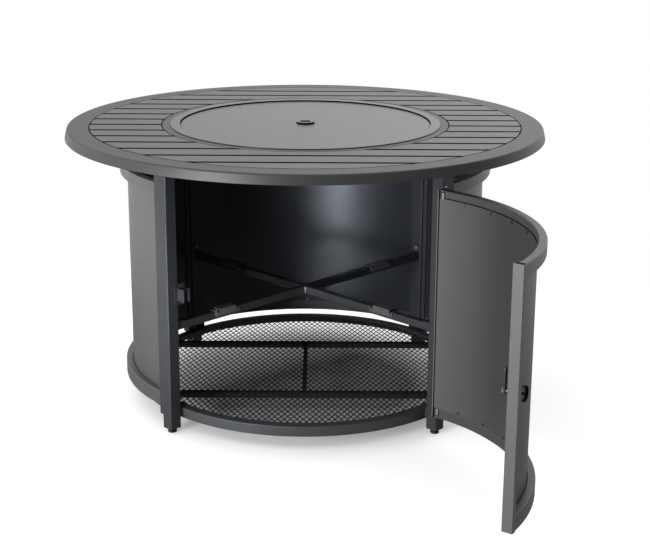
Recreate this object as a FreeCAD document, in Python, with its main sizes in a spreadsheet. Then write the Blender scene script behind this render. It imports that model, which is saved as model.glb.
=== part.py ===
import FreeCAD, Part
import operator
import os
from math import hypot
from types import SimpleNamespace

import Sketcher

# Round fire pit table with a curved steel cabinet.
# Origin on the floor under the table's centre, +Z up, the door's bay faces -Y.
# The posts stand on the diagonals, and the door is modelled standing open.

UP = FreeCAD.Vector(0, 0, 1)
ORIGIN = FreeCAD.Vector(0, 0, 0)

# The driving dimensions, in millimetres and degrees
DIMENSIONS = [
    ("table_height", 718, "floor to the tabletop's face"),
    ("apron_radius", 609.6, "lower edge of the slanted apron"),
    ("apron_slant", 5.6, "lower edge of the apron beyond the rim's flat"),
    ("shoulder_round", 5, "rounding of that turn"),
    ("apron_height", 24, "depth of the apron"),
    ("rim_sheet", 2.5, "wall of the rim and the trim ring"),
    ("rim_band", 54.3, "flat of the rim, from the slats to the turn"),
    ("slat_pitch", 74.3, "slat to slat"),
    ("slat_gap", 4.5, "open line between two slats"),
    ("slat_depth", 15, "height of a slat"),
    ("slat_sheet", 2, "wall of a slat"),
    ("trim_outer_radius", 365.2, "outer edge of the trim ring round the burner opening"),
    ("trim_width", 35.2, "trim ring from edge to edge"),
    ("fit_gap", 0.3, "clearance between pieces that seat or slide"),
    ("flange_lap", 14.5, "burner pan's flange on the trim ring"),
    ("flange_width", 24.5, "burner pan's flange from edge to edge"),
    ("flange_rise", 2.3, "flange above the tabletop"),
    ("pan_sheet", 2, "wall of the burner pan"),
    ("ledge_width", 14, "ledge that carries the lid"),
    ("pan_depth", 73, "pan's floor below the tabletop"),
    ("pan_floor_radius", 250, "radius of the pan's floor"),
    ("pan_hole_radius", 30, "hole for the burner's feed"),
    ("lid_gap", 1.5, "lid plate to the flange round it"),
    ("lid_sheet", 2.5, "thickness of the lid plate"),
    ("lid_recess", 2, "lid's face below the flange"),
    ("grip_hole_radius", 22, "finger hole in the lid"),
    ("grip_cup_depth", 15, "depth of the finger cup"),
    ("grip_cup_sheet", 1.5, "wall of the finger cup"),
    ("grip_cup_taper", 6, "cup's floor within its mouth"),
    ("grip_cup_lip", 4.5, "cup's lip beyond the hole"),
    ("grip_bar_width", 16, "bar across the finger hole"),
    ("support_overhang", 6, "support ring beyond the posts it lies on"),
    ("bearer_count", 8, "radial bearers"),
    ("bearer_width", 25, "width of a bearer"),
    ("bearer_inset", 3, "bearer's inner end from the trim ring's inner edge"),
    ("bearer_lap", 12.3, "bearer's outer end under the rim"),
    ("post_side", 31.75, "square post"),
    ("post_wall", 2, "wall of a post"),
    ("post_outer_radius", 477, "outer face of a post"),
    ("foot_lift", 12, "post's lower end above the floor"),
    ("insert_height", 10, "threaded insert in a post"),
    ("foot_radius", 11, "levelling foot's pad"),
    ("foot_edge", 5, "straight edge of the pad"),
    ("foot_neck_radius", 6, "top of the pad's cone"),
    ("foot_pad_height", 8.5, "height of the pad"),
    ("stud_radius", 4, "levelling foot's stud"),
    ("stud_length", 34, "stud above the pad"),
    ("floor_level", 59.8, "top of the floor ring"),
    ("floor_ring_gap", 8.25, "floor ring to the posts"),
    ("floor_ring_height", 25.8, "upright flange of the floor ring"),
    ("floor_ring_flange", 26, "flat flange of the floor ring"),
    ("floor_ring_wall", 2.5, "wall of the floor ring"),
    ("floor_tab_width", 20, "tab between the floor ring and a post"),
    ("floor_tab_height", 20.6, "height of that tab"),
    ("mesh_sheet", 2, "thickness of the expanded mesh"),
    ("mesh_pitch_across", 49.5, "diamonds across, measured along X"),
    ("mesh_pitch_along", 105, "diamonds along, measured along Y"),
    ("mesh_strand", 3.2, "strand between two diamonds"),
    ("mesh_border", 7, "solid edge of the mesh"),
    ("crossbar_side", 16, "square tube under the mesh"),
    ("crossbar_wall", 1.5, "wall of that tube"),
    ("crossbar_offset", 192, "crossbar's centre from the table's axis"),
    ("brace_level", 263.5, "underside of the brace"),
    ("brace_side", 19.05, "square tube of the brace"),
    ("brace_wall", 1.5, "wall of that tube"),
    ("bracket_sheet", 3, "brace's end bracket"),
    ("bracket_width", 20, "width of an end bracket"),
    ("bracket_rise", 30, "bracket above the brace"),
    ("bracket_lip", 22, "lip on the brace"),
    ("bolt_radius", 6.5, "corner radius of a hexagon head"),
    ("bolt_head", 4, "height of a hexagon head"),
    ("saddle_radius", 283, "saddle clip's centre from the table's axis"),
    ("saddle_length", 78, "saddle clip along the arm"),
    ("saddle_drop", 12, "side of a saddle clip"),
    ("saddle_sheet", 2.4, "wall of a saddle clip"),
    ("saddle_slot_spacing", 65, "between a clip's two slots"),
    ("saddle_slot_width", 4, "width of a slot"),
    ("saddle_slot_length", 20, "length of a slot across the clip"),
    ("jamb_width", 12.7, "jamb bar and door stile, along the wall"),
    ("jamb_depth", 25.4, "jamb bar and door stile, through the wall"),
    ("jamb_wall", 1.5, "wall of those tubes"),
    ("jamb_foot", 45, "lower end of a jamb bar"),
    ("wall_inset", 2, "jambs, stiles and rails behind the posts' outer face"),
    ("rail_depth", 18.5, "rolled rail through the wall"),
    ("rail_wall", 1.5, "wall of a rolled rail"),
    ("vent_height", 60, "air slot between a top rail and the tabletop"),
    ("top_rail_height", 29.5, "height of a top rail"),
    ("bottom_rail_low", 66, "underside of a bottom rail"),
    ("bottom_rail_height", 37, "height of a bottom rail"),
    ("sheet_wall", 1.5, "curved sheet"),
    ("sheet_lap", 10, "sheet's lap on each rail"),
    ("screw_count", 7, "screws along one rail"),
    ("screw_step", 11, "degrees from screw to screw"),
    ("screw_radius", 4, "corner radius of a panel screw's head"),
    ("screw_head", 2.4, "height of a panel screw's head"),
    ("door_gap", 3.1, "post to closed door"),
    ("door_open_angle", 99.3, "door's opening at rest"),
    ("hinge_stand", 12.7, "hinge pin in front of the posts' outer face"),
    ("hinge_leaf", 1.2, "thickness of a hinge leaf"),
    ("hinge_leaf_width", 28, "leaf from the knuckle inwards"),
    ("knuckle_radius", 4.5, "hinge knuckle"),
    ("knuckle_count", 7, "knuckles from end to end"),
    ("knuckle_gap", 0.6, "between two knuckles"),
    ("pin_radius", 2, "hinge pin"),
    ("pin_clearance", 0.15, "hinge pin in its knuckles"),
    ("pin_end", 2, "hinge pin beyond the knuckles"),
    ("latch_angle", 10.2, "degrees from the left post to the latch"),
    ("latch_level", 347, "height of the latch's shaft"),
    ("bezel_radius", 18, "latch housing outside the sheet"),
    ("bezel_depth", 5, "housing's thickness"),
    ("bezel_floor", 2, "floor of the housing's recess"),
    ("knob_radius", 14.7, "turning disc of the latch"),
    ("latch_grip_width", 7, "grip across the disc"),
    ("latch_grip_height", 5, "grip above the housing"),
    ("latch_grip_length", 26.4, "length of that grip"),
    ("barrel_radius", 9, "threaded barrel through the sheet"),
    ("barrel_length", 9, "barrel behind the bezel"),
    ("barrel_nut_radius", 14, "corner radius of the barrel's nut"),
    ("barrel_nut_height", 4, "height of that nut"),
    ("shaft_radius", 4, "latch shaft"),
    ("cam_reach", 52, "shaft's axis to the cam's tip"),
    ("cam_width", 13, "width of the cam"),
    ("cam_sheet", 3, "thickness of the cam"),
    ("cam_standoff", 34.5, "cam's inner face behind the sheet"),
    ("cam_nut_height", 4, "nut behind the cam"),
    ("cam_nut_radius", 6.5, "corner radius of that nut"),
    ("keeper_sheet", 2, "flanges of the keeper"),
    ("keeper_plate", 1.2, "base plate of the keeper"),
    ("keeper_clearance", 4.5, "closed cam to the keeper's inner flange"),
    ("keeper_mouth", 15.5, "between the keeper's flanges"),
    ("keeper_reach", 23, "flanges beyond the base plate"),
    ("keeper_drop", 6, "lower edge of the flanges below the latch's shaft"),
    ("keeper_height", 32, "height of the flanges"),
    ("keeper_ear", 10, "base plate beyond the flanges"),
    ("keeper_plate_width", 30, "base plate along the post's face"),
    ("keeper_screw_head", 1.1, "flat screw head on the base plate"),
    ("control_width", 140, "control plate"),
    ("control_drop", 36, "control plate below the support ring"),
    ("control_sheet", 2, "wall of the control plate"),
    ("control_flange", 34, "flange of the control plate under the ring"),
    ("control_fall", 18, "knob and button below the support ring"),
    ("control_spread", 60, "knob to button"),
    ("dial_radius", 14, "control knob"),
    ("dial_depth", 17, "control knob, front to back"),
    ("dial_skirt", 5, "full round part of the knob"),
    ("dial_grip_width", 8, "grip across the knob"),
    ("dial_grip_length", 26, "length of that grip"),
    ("stem_radius", 3, "valve stem"),
    ("stem_length", 12, "valve stem in front of its bushing"),
    ("bushing_radius", 9, "valve's bushing through the plate"),
    ("bushing_nose", 4, "bushing in front of the plate"),
    ("valve_width", 30, "valve body"),
    ("valve_height", 24, "valve body"),
    ("valve_depth", 34, "valve body"),
    ("inlet_radius", 7.94, "flare fitting for the gas hose"),
    ("inlet_length", 18, "length of that fitting"),
    ("inlet_hex", 11, "corner radius of its hexagon"),
    ("inlet_hex_length", 7, "length of its hexagon"),
    ("igniter_radius", 11, "igniter body"),
    ("igniter_length", 40, "igniter body"),
    ("button_radius", 7, "igniter button"),
    ("button_nose", 9, "button in front of the plate"),
    ("button_travel", 4, "button's stroke"),
    ("burner_radius", 150, "ring burner's centre line"),
    ("burner_tube", 9, "radius of the burner's tube"),
    ("burner_lift", 25, "burner's centre line above the pan's floor"),
    ("burner_feed_drop", 25, "feed pipe below the pan's floor"),
    ("collar_radius", 40, "collar round the feed pipe"),
    ("collar_height", 4, "thickness of the collar"),
    ("pilot_radius", 178, "pilot bracket from the table's axis"),
    ("pilot_height", 34, "height of the pilot bracket"),
    ("pilot_width", 22, "width of the pilot bracket"),
    ("electrode_radius", 2, "spark electrode"),
    ("electrode_length", 30, "spark electrode"),
    ("electrode_foot", 13, "electrode's lower end above the pan's floor"),
]

SIGNS = {"+": operator.add, "-": operator.sub, "*": operator.mul, "/": operator.truediv}


class Size:
    """A number together with the sheet formula that gives it."""

    def __init__(self, number, formula):
        self.number = number
        self.formula = formula

    def __add__(self, other):
        return combine(self, "+", other)

    def __radd__(self, other):
        return combine(other, "+", self)

    def __sub__(self, other):
        return combine(self, "-", other)

    def __rsub__(self, other):
        return combine(other, "-", self)

    def __mul__(self, other):
        return combine(self, "*", other)

    def __rmul__(self, other):
        return combine(other, "*", self)

    def __truediv__(self, other):
        return combine(self, "/", other)

    def __neg__(self):
        return combine(0, "-", self)


def as_size(value):
    """Wraps a plain number, so that it can stand in a formula."""
    if isinstance(value, Size):
        return value
    return Size(value, str(value))


def combine(left, sign, right):
    """Joins two sizes: the numbers are worked out and the formulas written out."""
    left, right = as_size(left), as_size(right)
    return Size(SIGNS[sign](left.number, right.number), f"({left.formula} {sign} {right.formula})")


def chord(radius, half_width):
    """How far from the centre of a circle a chord of a given half width lies."""
    number = (radius.number**2 - half_width.number**2) ** 0.5
    return Size(number, f"sqrt({radius.formula} ^ 2 - {half_width.formula} ^ 2)")


doc = FreeCAD.newDocument("FirePitTable")
sheet = doc.addObject("Spreadsheet::Sheet", "Sizes")
for row, (word, number, meaning) in enumerate(DIMENSIONS, start=1):
    sheet.set(f"A{row}", meaning)
    sheet.set(f"B{row}", str(number))
    sheet.setAlias(f"B{row}", word)
doc.recompute()
D = SimpleNamespace(**{
    word: Size(float(sheet.get(word)), f"Sizes.{word}") for word, number, meaning in DIMENSIONS
})

# Places that several pieces share; outer and inner are radii from the table's axis
half_post = D.post_side / 2
post_centre = D.post_outer_radius - half_post
post_inner = D.post_outer_radius - D.post_side
shoulder = D.apron_radius - D.apron_slant
slat_field = shoulder - D.rim_band
trim_inner = D.trim_outer_radius - D.trim_width
flange_outer = trim_inner + D.flange_lap
flange_inner = flange_outer - D.flange_width
support_inner = post_inner - D.support_overhang
support_outer = D.post_outer_radius + D.support_overhang
floor_ring_outer = post_inner - D.floor_ring_gap
wall_outer = D.post_outer_radius - D.wall_inset
hinge_radius = D.post_outer_radius + D.hinge_stand
apron_foot = D.table_height - D.apron_height
slat_foot = D.table_height - D.slat_depth
top_rail_high = apron_foot - D.vent_height
top_rail_low = top_rail_high - D.top_rail_height
bottom_rail_high = D.bottom_rail_low + D.bottom_rail_height
jamb_inner = wall_outer - D.jamb_depth
jamb_start = half_post + D.fit_gap
panel_side = jamb_start + D.jamb_width
door_start = half_post + D.door_gap
door_side = door_start + D.jamb_width
rail_inner = wall_outer - D.rail_depth
sheet_low = bottom_rail_high - D.sheet_lap
sheet_high = top_rail_low + D.sheet_lap
sheet_inner = rail_inner - D.sheet_wall
cam_inner = sheet_inner - D.cam_standoff
mesh_top = D.floor_level - D.floor_ring_wall
mesh_foot = mesh_top - D.mesh_sheet
mesh_radius = floor_ring_outer - D.floor_ring_wall - D.fit_gap
arm_end = post_inner - D.bracket_sheet
arm_top = D.brace_level + D.brace_side
flange_top = D.table_height + D.flange_rise
lid_top = flange_top - D.lid_recess
lid_foot = lid_top - D.lid_sheet
ledge_level = lid_foot - D.fit_gap
ledge_inner = flange_inner - D.ledge_width
pan_floor = D.table_height - D.pan_depth
burner_level = pan_floor + D.burner_lift
hinge_offset = half_post + D.door_gap / 2
control_level = apron_foot - D.control_fall
far = D.apron_radius * 2

# The turn of each bay's own frame, whose X and Y axes run through its two posts
BAY_TURN = {"left": 135, "back": 45, "right": -45, "front": -135}
BAY_MIDDLE = 45
POST_TURN = {"left_front": -135, "right_front": -45, "right_back": 45, "left_back": 135}

nodes = {}


def node(piece, name):
    """Names a finished sub-part after its file."""
    piece.Label = name
    nodes[name] = piece
    return piece


def bind(piece, **sizes):
    """Ties properties to formulas of the sheet."""
    for name, size in sizes.items():
        piece.setExpression(name, as_size(size).formula)


def lift(piece, x, y, z):
    """Ties a piece's place to formulas of the sheet."""
    for axis, size in zip("xyz", (x, y, z)):
        piece.setExpression(f"Placement.Base.{axis}", as_size(size).formula)


def block(x_low, x_high, y_low, y_high, z_low, z_high):
    """A box between two corners."""
    piece = doc.addObject("Part::Box", "block")
    bind(piece, Length=x_high - x_low, Width=y_high - y_low, Height=z_high - z_low)
    lift(piece, x_low, y_low, z_low)
    return piece


def rod(radius, low, high, x=0, y=0):
    """An upright cylinder."""
    piece = doc.addObject("Part::Cylinder", "rod")
    bind(piece, Radius=radius, Height=high - low)
    lift(piece, x, y, low)
    return piece


def lying_rod(radius, start, end, direction, across, level):
    """A cylinder that lies along X or Y, from start to end."""
    piece = doc.addObject("Part::Cylinder", "lying_rod")
    bind(piece, Radius=radius, Height=end - start)
    if direction == "x":
        piece.Placement.Rotation = FreeCAD.Rotation(FreeCAD.Vector(0, 1, 0), 90)
        lift(piece, start, across, level)
    else:
        piece.Placement.Rotation = FreeCAD.Rotation(FreeCAD.Vector(1, 0, 0), -90)
        lift(piece, across, start, level)
    return piece


def lying_hexagon(corner_radius, start, end, direction, across, level):
    """A hexagonal head or nut that lies along X or Y."""
    piece = doc.addObject("Part::Prism", "hexagon")
    piece.Polygon = 6
    bind(piece, Circumradius=corner_radius, Height=end - start)
    if direction == "x":
        piece.Placement.Rotation = FreeCAD.Rotation(FreeCAD.Vector(0, 1, 0), 90)
        lift(piece, start, across, level)
    else:
        piece.Placement.Rotation = FreeCAD.Rotation(FreeCAD.Vector(1, 0, 0), -90)
        lift(piece, across, start, level)
    return piece


def cut(base, tool):
    """Takes the tool out of the base."""
    piece = doc.addObject("Part::Cut", "cut")
    piece.Base = base
    piece.Tool = tool
    return piece


def common(base, tool):
    """Keeps what the two pieces share."""
    piece = doc.addObject("Part::Common", "common")
    piece.Base = base
    piece.Tool = tool
    return piece


def fuse(pieces):
    """Welds pieces into one solid."""
    piece = doc.addObject("Part::MultiFuse", "fuse")
    piece.Shapes = pieces
    piece.Refine = True
    return piece


def group(pieces):
    """Holds separate solids together, or lets one solid be turned as a whole."""
    piece = doc.addObject("Part::Compound", "group")
    piece.Links = pieces
    return piece


def turn(piece, angle):
    """Turns a finished piece about the table's axis."""
    piece.Placement = FreeCAD.Placement(ORIGIN, FreeCAD.Rotation(UP, angle))
    return piece


def ring(inner, outer, low, high):
    """A flat or upright ring about the table's axis."""
    return cut(rod(outer, low, high), rod(inner, low, high))


def bay_block(offset, low, high):
    """The quarter of the table between two posts, less an offset from each post's centre plane."""
    return block(as_size(offset), far, as_size(offset), far, low, high)


def bay_arc(inner, outer, offset, low, high):
    """A curved strip between the two sides of a bay, in the bay's own frame."""
    return common(ring(inner, outer, low, high), bay_block(offset, low, high))


def tube_block(x_low, x_high, y_low, y_high, z_low, z_high, wall):
    """A rectangular tube that stands upright."""
    outside = block(x_low, x_high, y_low, y_high, z_low, z_high)
    inside = block(x_low + wall, x_high - wall, y_low + wall, y_high - wall, z_low, z_high)
    return cut(outside, inside)


def plane_of(body, role):
    """One of a body's own origin planes."""
    return next(feature for feature in body.Origin.OriginFeatures if feature.Role == role)


def revolved(name, corners):
    """A body turned from a closed profile; each corner is a radius and a height."""
    body = doc.addObject("PartDesign::Body", name)
    sketch = body.newObject("Sketcher::SketchObject", name + "_profile")
    sketch.AttachmentSupport = [(plane_of(body, "XZ_Plane"), "")]
    sketch.MapMode = "FlatFace"
    points = [FreeCAD.Vector(as_size(radius).number, as_size(level).number, 0) for radius, level in corners]
    count = len(points)
    for index in range(count):
        sketch.addGeometry(Part.LineSegment(points[index], points[(index + 1) % count]), False)
    for index in range(count):
        sketch.addConstraint(Sketcher.Constraint("Coincident", index, 2, (index + 1) % count, 1))
    for index, (radius, level) in enumerate(corners):
        for kind, size in (("DistanceX", as_size(radius)), ("DistanceY", as_size(level))):
            place = sketch.addConstraint(Sketcher.Constraint(kind, -1, 1, index, 1, size.number))
            sketch.setExpression(f"Constraints[{place}]", size.formula)
    revolution = body.newObject("PartDesign::Revolution", name + "_turned")
    revolution.Profile = sketch
    revolution.ReferenceAxis = (sketch, ["V_Axis"])
    revolution.Angle = 360
    sketch.Visibility = False
    doc.recompute()
    return body


def round_edge(body, radius, level, size):
    """Rounds the circular edge that lies at a radius and a height."""
    base = body.Tip
    names = []
    for index, edge in enumerate(base.Shape.Edges, start=1):
        on_circle = hasattr(edge.Curve, "Radius") and abs(edge.Curve.Radius - radius.number) < 0.01
        if on_circle and abs(edge.CenterOfMass.z - level.number) < 0.01:
            names.append(f"Edge{index}")
    fillet = body.newObject("PartDesign::Fillet", body.Name + "_round")
    fillet.Base = (base, names)
    bind(fillet, Radius=size)
    doc.recompute()


# Tabletop: the rim is a turned sheet channel with a lip inside and a slanted apron outside
rim = revolved("rim", [
    (slat_field, D.table_height),
    (shoulder, D.table_height),
    (D.apron_radius, apron_foot),
    (D.apron_radius - D.rim_sheet, apron_foot),
    (shoulder - D.rim_sheet, D.table_height - D.rim_sheet),
    (slat_field + D.rim_sheet, D.table_height - D.rim_sheet),
    (slat_field + D.rim_sheet, slat_foot),
    (slat_field, slat_foot),
])
round_edge(rim, shoulder, D.table_height, D.shoulder_round)
node(rim, "tabletop_rim")

# Slats: parallel channels, open below, cut to the round field and round the burner opening
slat_half = (D.slat_pitch - D.slat_gap) / 2
slat_shells = []
slat_hollows = []
slats_each_side = int((slat_field / D.slat_pitch).number)
for number in range(-slats_each_side, slats_each_side + 1):
    middle = number * D.slat_pitch
    inner_half = slat_half - D.slat_sheet
    slat_shells.append(
        block(-far, far, middle - slat_half, middle + slat_half, slat_foot, D.table_height)
    )
    slat_hollows.append(
        block(-far, far, middle - inner_half, middle + inner_half, slat_foot, D.table_height - D.slat_sheet)
    )
slat_area = ring(
    D.trim_outer_radius + D.fit_gap, slat_field - D.fit_gap, slat_foot, D.table_height
)
node(common(cut(group(slat_shells), group(slat_hollows)), slat_area), "top_slats")

node(revolved("trim", [
    (trim_inner, D.table_height),
    (D.trim_outer_radius, D.table_height),
    (D.trim_outer_radius, slat_foot),
    (D.trim_outer_radius - D.rim_sheet, slat_foot),
    (D.trim_outer_radius - D.rim_sheet, D.table_height - D.rim_sheet),
    (trim_inner, D.table_height - D.rim_sheet),
]), "opening_trim_ring")

# Under the slats: a ring on the posts, and radial bearers inside and outside it
node(ring(support_inner, support_outer, apron_foot, slat_foot), "top_support_ring")
bearers = []
for number in range(int(D.bearer_count.number)):
    spans = (
        (trim_inner + D.bearer_inset, support_inner - D.fit_gap),
        (support_outer + D.fit_gap, slat_field + D.bearer_lap),
    )
    for start, end in spans:
        bar = block(start, end, -D.bearer_width / 2, D.bearer_width / 2, apron_foot, slat_foot)
        bearers.append(turn(group([bar]), number * 360 / D.bearer_count.number))
node(group(bearers), "top_bearers")

# Posts, their threaded inserts and the levelling feet
inserts = []
for corner, angle in POST_TURN.items():
    post = tube_block(
        post_inner, D.post_outer_radius, -half_post, half_post, D.foot_lift, apron_foot, D.post_wall
    )
    node(turn(post, angle), f"post_{corner}")

    margin = D.post_wall + D.fit_gap
    plug = block(
        post_inner + margin, D.post_outer_radius - margin, margin - half_post, half_post - margin,
        D.foot_lift, D.foot_lift + D.insert_height,
    )
    thread = rod(D.stud_radius + D.fit_gap, D.foot_lift, D.foot_lift + D.insert_height, post_centre)
    inserts.append(turn(cut(plug, thread), angle))

    foot = revolved(f"foot_{corner}", [
        (0, 0),
        (D.foot_radius, 0),
        (D.foot_radius, D.foot_edge),
        (D.foot_neck_radius, D.foot_pad_height),
        (D.stud_radius, D.foot_pad_height),
        (D.stud_radius, D.foot_pad_height + D.stud_length),
        (0, D.foot_pad_height + D.stud_length),
    ])
    along = FreeCAD.Rotation(UP, angle).multVec(FreeCAD.Vector(1, 0, 0))
    lift(foot, post_centre * along.x, post_centre * along.y, 0)
    node(foot, f"levelling_foot_{corner}")
node(group(inserts), "post_inserts")

# Floor: a rolled angle ring, tabs to the posts, crossbars and an expanded mesh on them
ring_wall_inner = floor_ring_outer - D.floor_ring_wall
floor_angle = revolved("floor_angle", [
    (floor_ring_outer - D.floor_ring_flange, D.floor_level),
    (floor_ring_outer, D.floor_level),
    (floor_ring_outer, D.floor_level - D.floor_ring_height),
    (ring_wall_inner, D.floor_level - D.floor_ring_height),
    (ring_wall_inner, mesh_top),
    (floor_ring_outer - D.floor_ring_flange, mesh_top),
])
tabs = []
for angle in POST_TURN.values():
    tab = block(
        ring_wall_inner, post_inner, -D.floor_tab_width / 2, D.floor_tab_width / 2,
        D.floor_level - D.floor_tab_height, D.floor_level,
    )
    tabs.append(turn(group([tab]), angle))
node(fuse([floor_angle] + tabs), "floor_ring")

bar_half = D.crossbar_side / 2
bar_foot = mesh_foot - D.crossbar_side
bars = []
hollows = []
for middle in (-D.crossbar_offset, D.crossbar_offset):
    bars.append(block(-far, far, middle - bar_half, middle + bar_half, bar_foot, mesh_foot))
    hollows.append(block(
        -far, far, middle - bar_half + D.crossbar_wall, middle + bar_half - D.crossbar_wall,
        bar_foot + D.crossbar_wall, mesh_foot - D.crossbar_wall,
    ))
bars.append(block(
    -bar_half, bar_half, bar_half - D.crossbar_offset, D.crossbar_offset - bar_half, bar_foot, mesh_foot
))
hollows.append(block(
    D.crossbar_wall - bar_half, bar_half - D.crossbar_wall,
    bar_half - D.crossbar_offset, D.crossbar_offset - bar_half,
    bar_foot + D.crossbar_wall, mesh_foot - D.crossbar_wall,
))
crossbars = cut(fuse(bars), group(hollows))
node(common(crossbars, rod(mesh_radius, bar_foot, mesh_foot)), "floor_crossbars")


def mesh_holes(radius, across, along, strand):
    """Diamonds in staggered rows, each smaller than its pitch by the strand, clipped to a circle.

    What the circle leaves of a diamond stays open where it is over a quarter of one.
    """
    half_across = (across - strand * hypot(across, along) / along) / 2
    half_along = along / across * half_across
    open_disc = Part.Face(Part.Wire(Part.makeCircle(radius)))
    quarter = half_across * half_along / 2
    holes = []
    columns = int(radius * 2 / across) + 2
    rows = int(radius * 4 / along) + 2
    for line in range(-rows, rows + 1):
        for column in range(-columns, columns + 1):
            x = (column + (line % 2) / 2) * across
            y = line * along / 2
            corners = [
                FreeCAD.Vector(x - half_across, y, 0),
                FreeCAD.Vector(x, y - half_along, 0),
                FreeCAD.Vector(x + half_across, y, 0),
                FreeCAD.Vector(x, y + half_along, 0),
            ]
            if min(corner.Length for corner in corners) > radius:
                continue
            diamond = Part.Face(Part.makePolygon(corners + corners[:1]))
            clipped = diamond.common(open_disc)
            if clipped.Area > quarter:
                holes.extend(clipped.Faces)
    return holes


holes = mesh_holes(
    (mesh_radius - D.mesh_border).number,
    D.mesh_pitch_across.number,
    D.mesh_pitch_along.number,
    D.mesh_strand.number,
)
disc = Part.Face(Part.Wire(Part.makeCircle(mesh_radius.number)))
net = disc.cut(Part.makeCompound(holes)).Faces[0].extrude(UP * D.mesh_sheet.number)
mesh = doc.addObject("Part::Feature", "mesh")
mesh.Shape = net
mesh.Placement = FreeCAD.Placement(UP * mesh_foot.number, FreeCAD.Rotation())
node(mesh, "floor_mesh")
print("gaps in the mesh:", len(holes))

# Brace: one arm from post to post, two half arms against it, brackets at the four ends
brace_half = D.brace_side / 2


def brace_arm(start, end):
    """A square tube lying along X."""
    outside = block(start, end, -brace_half, brace_half, D.brace_level, arm_top)
    inside = block(
        start, end, D.brace_wall - brace_half, brace_half - D.brace_wall,
        D.brace_level + D.brace_wall, arm_top - D.brace_wall,
    )
    return cut(outside, inside)


node(turn(brace_arm(-arm_end, arm_end), POST_TURN["right_back"]), "brace_long_arm")
half_arms = [
    turn(brace_arm(brace_half, arm_end), POST_TURN[corner]) for corner in ("right_front", "left_back")
]
node(group(half_arms), "brace_half_arms")

brackets = []
bolts = []
saddles = []
for angle in POST_TURN.values():
    plate = block(
        arm_end, post_inner, -D.bracket_width / 2, D.bracket_width / 2,
        D.brace_level, arm_top + D.bracket_rise,
    )
    lip = block(
        arm_end - D.bracket_lip, post_inner, -brace_half, brace_half,
        arm_top, arm_top + D.bracket_sheet,
    )
    brackets.append(turn(fuse([plate, lip]), angle))
    bolt_level = arm_top + (D.bracket_rise + D.bracket_sheet) / 2
    bolt = lying_hexagon(D.bolt_radius, arm_end - D.bolt_head, arm_end, "x", 0, bolt_level)
    bolts.append(turn(group([bolt]), angle))

    start = D.saddle_radius - D.saddle_length / 2
    end = D.saddle_radius + D.saddle_length / 2
    side = brace_half + D.saddle_sheet
    cap = block(start, end, -side, side, arm_top - D.saddle_drop, arm_top + D.saddle_sheet)
    seat = block(start, end, -brace_half, brace_half, arm_top - D.saddle_drop, arm_top)
    slots = [
        block(
            middle - D.saddle_slot_width / 2, middle + D.saddle_slot_width / 2,
            -D.saddle_slot_length / 2, D.saddle_slot_length / 2,
            arm_top, arm_top + D.saddle_sheet,
        )
        for middle in (
            D.saddle_radius - D.saddle_slot_spacing / 2,
            D.saddle_radius + D.saddle_slot_spacing / 2,
        )
    ]
    saddles.append(turn(cut(cap, group([seat] + slots)), angle))
node(group(brackets), "brace_end_brackets")
node(group(bolts), "brace_bolts")
node(group(saddles), "saddle_clips")


def rolled_rail(low, high, side):
    """A rectangular tube rolled to the wall's curve."""
    outside = ring(rail_inner, wall_outer, low, high)
    inside = ring(
        rail_inner + D.rail_wall, wall_outer - D.rail_wall, low + D.rail_wall, high - D.rail_wall
    )
    return common(cut(outside, inside), bay_block(side, low, high))


def rail_screws():
    """Hexagon screw heads inside the sheet, along both rails."""
    heads = []
    middle = (D.screw_count - 1) / 2
    seat = chord(sheet_inner, D.screw_radius)
    for level in (sheet_low + D.sheet_lap / 2, sheet_high - D.sheet_lap / 2):
        for number in range(int(D.screw_count.number)):
            head = lying_hexagon(D.screw_radius, seat - D.screw_head, seat, "x", 0, level)
            angle = BAY_MIDDLE + (number - middle.number) * D.screw_step.number
            heads.append(turn(group([head]), angle))
    return heads


# Fixed panels: two jamb bars, two rolled rails and a curved sheet in each bay but the door's
panel_screws = []
jambs = []
for bay in ("left", "back", "right"):
    first = tube_block(
        jamb_inner, wall_outer, jamb_start, panel_side, D.jamb_foot, apron_foot, D.jamb_wall
    )
    second = tube_block(
        jamb_start, panel_side, jamb_inner, wall_outer, D.jamb_foot, apron_foot, D.jamb_wall
    )
    jambs.append(turn(group([first, second]), BAY_TURN[bay]))
    top_rail = rolled_rail(top_rail_low, top_rail_high, panel_side)
    node(turn(top_rail, BAY_TURN[bay]), f"top_rail_{bay}")
    bottom_rail = rolled_rail(D.bottom_rail_low, bottom_rail_high, panel_side)
    node(turn(bottom_rail, BAY_TURN[bay]), f"bottom_rail_{bay}")
    curved = bay_arc(sheet_inner, rail_inner, panel_side, sheet_low, sheet_high)
    node(turn(curved, BAY_TURN[bay]), f"panel_sheet_{bay}")
    panel_screws.append(turn(group(rail_screws()), BAY_TURN[bay]))
node(group(jambs), "jamb_bars")

# Door: every piece is made in the closed place and then turned about the hinge pin
CLOSED = FreeCAD.Rotation(UP, BAY_TURN["front"])
OPEN = FreeCAD.Rotation(UP, BAY_TURN["front"] + D.door_open_angle.number)
HINGE = FreeCAD.Vector(hinge_offset.number, hinge_radius.number, 0)
DOOR_PLACE = FreeCAD.Placement(CLOSED.multVec(HINGE) - OPEN.multVec(HINGE), OPEN)


def hang(piece, name):
    """Puts a door piece, made in the front bay's frame, where the open door holds it."""
    piece.Placement = DOOR_PLACE
    return node(piece, name)


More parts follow.
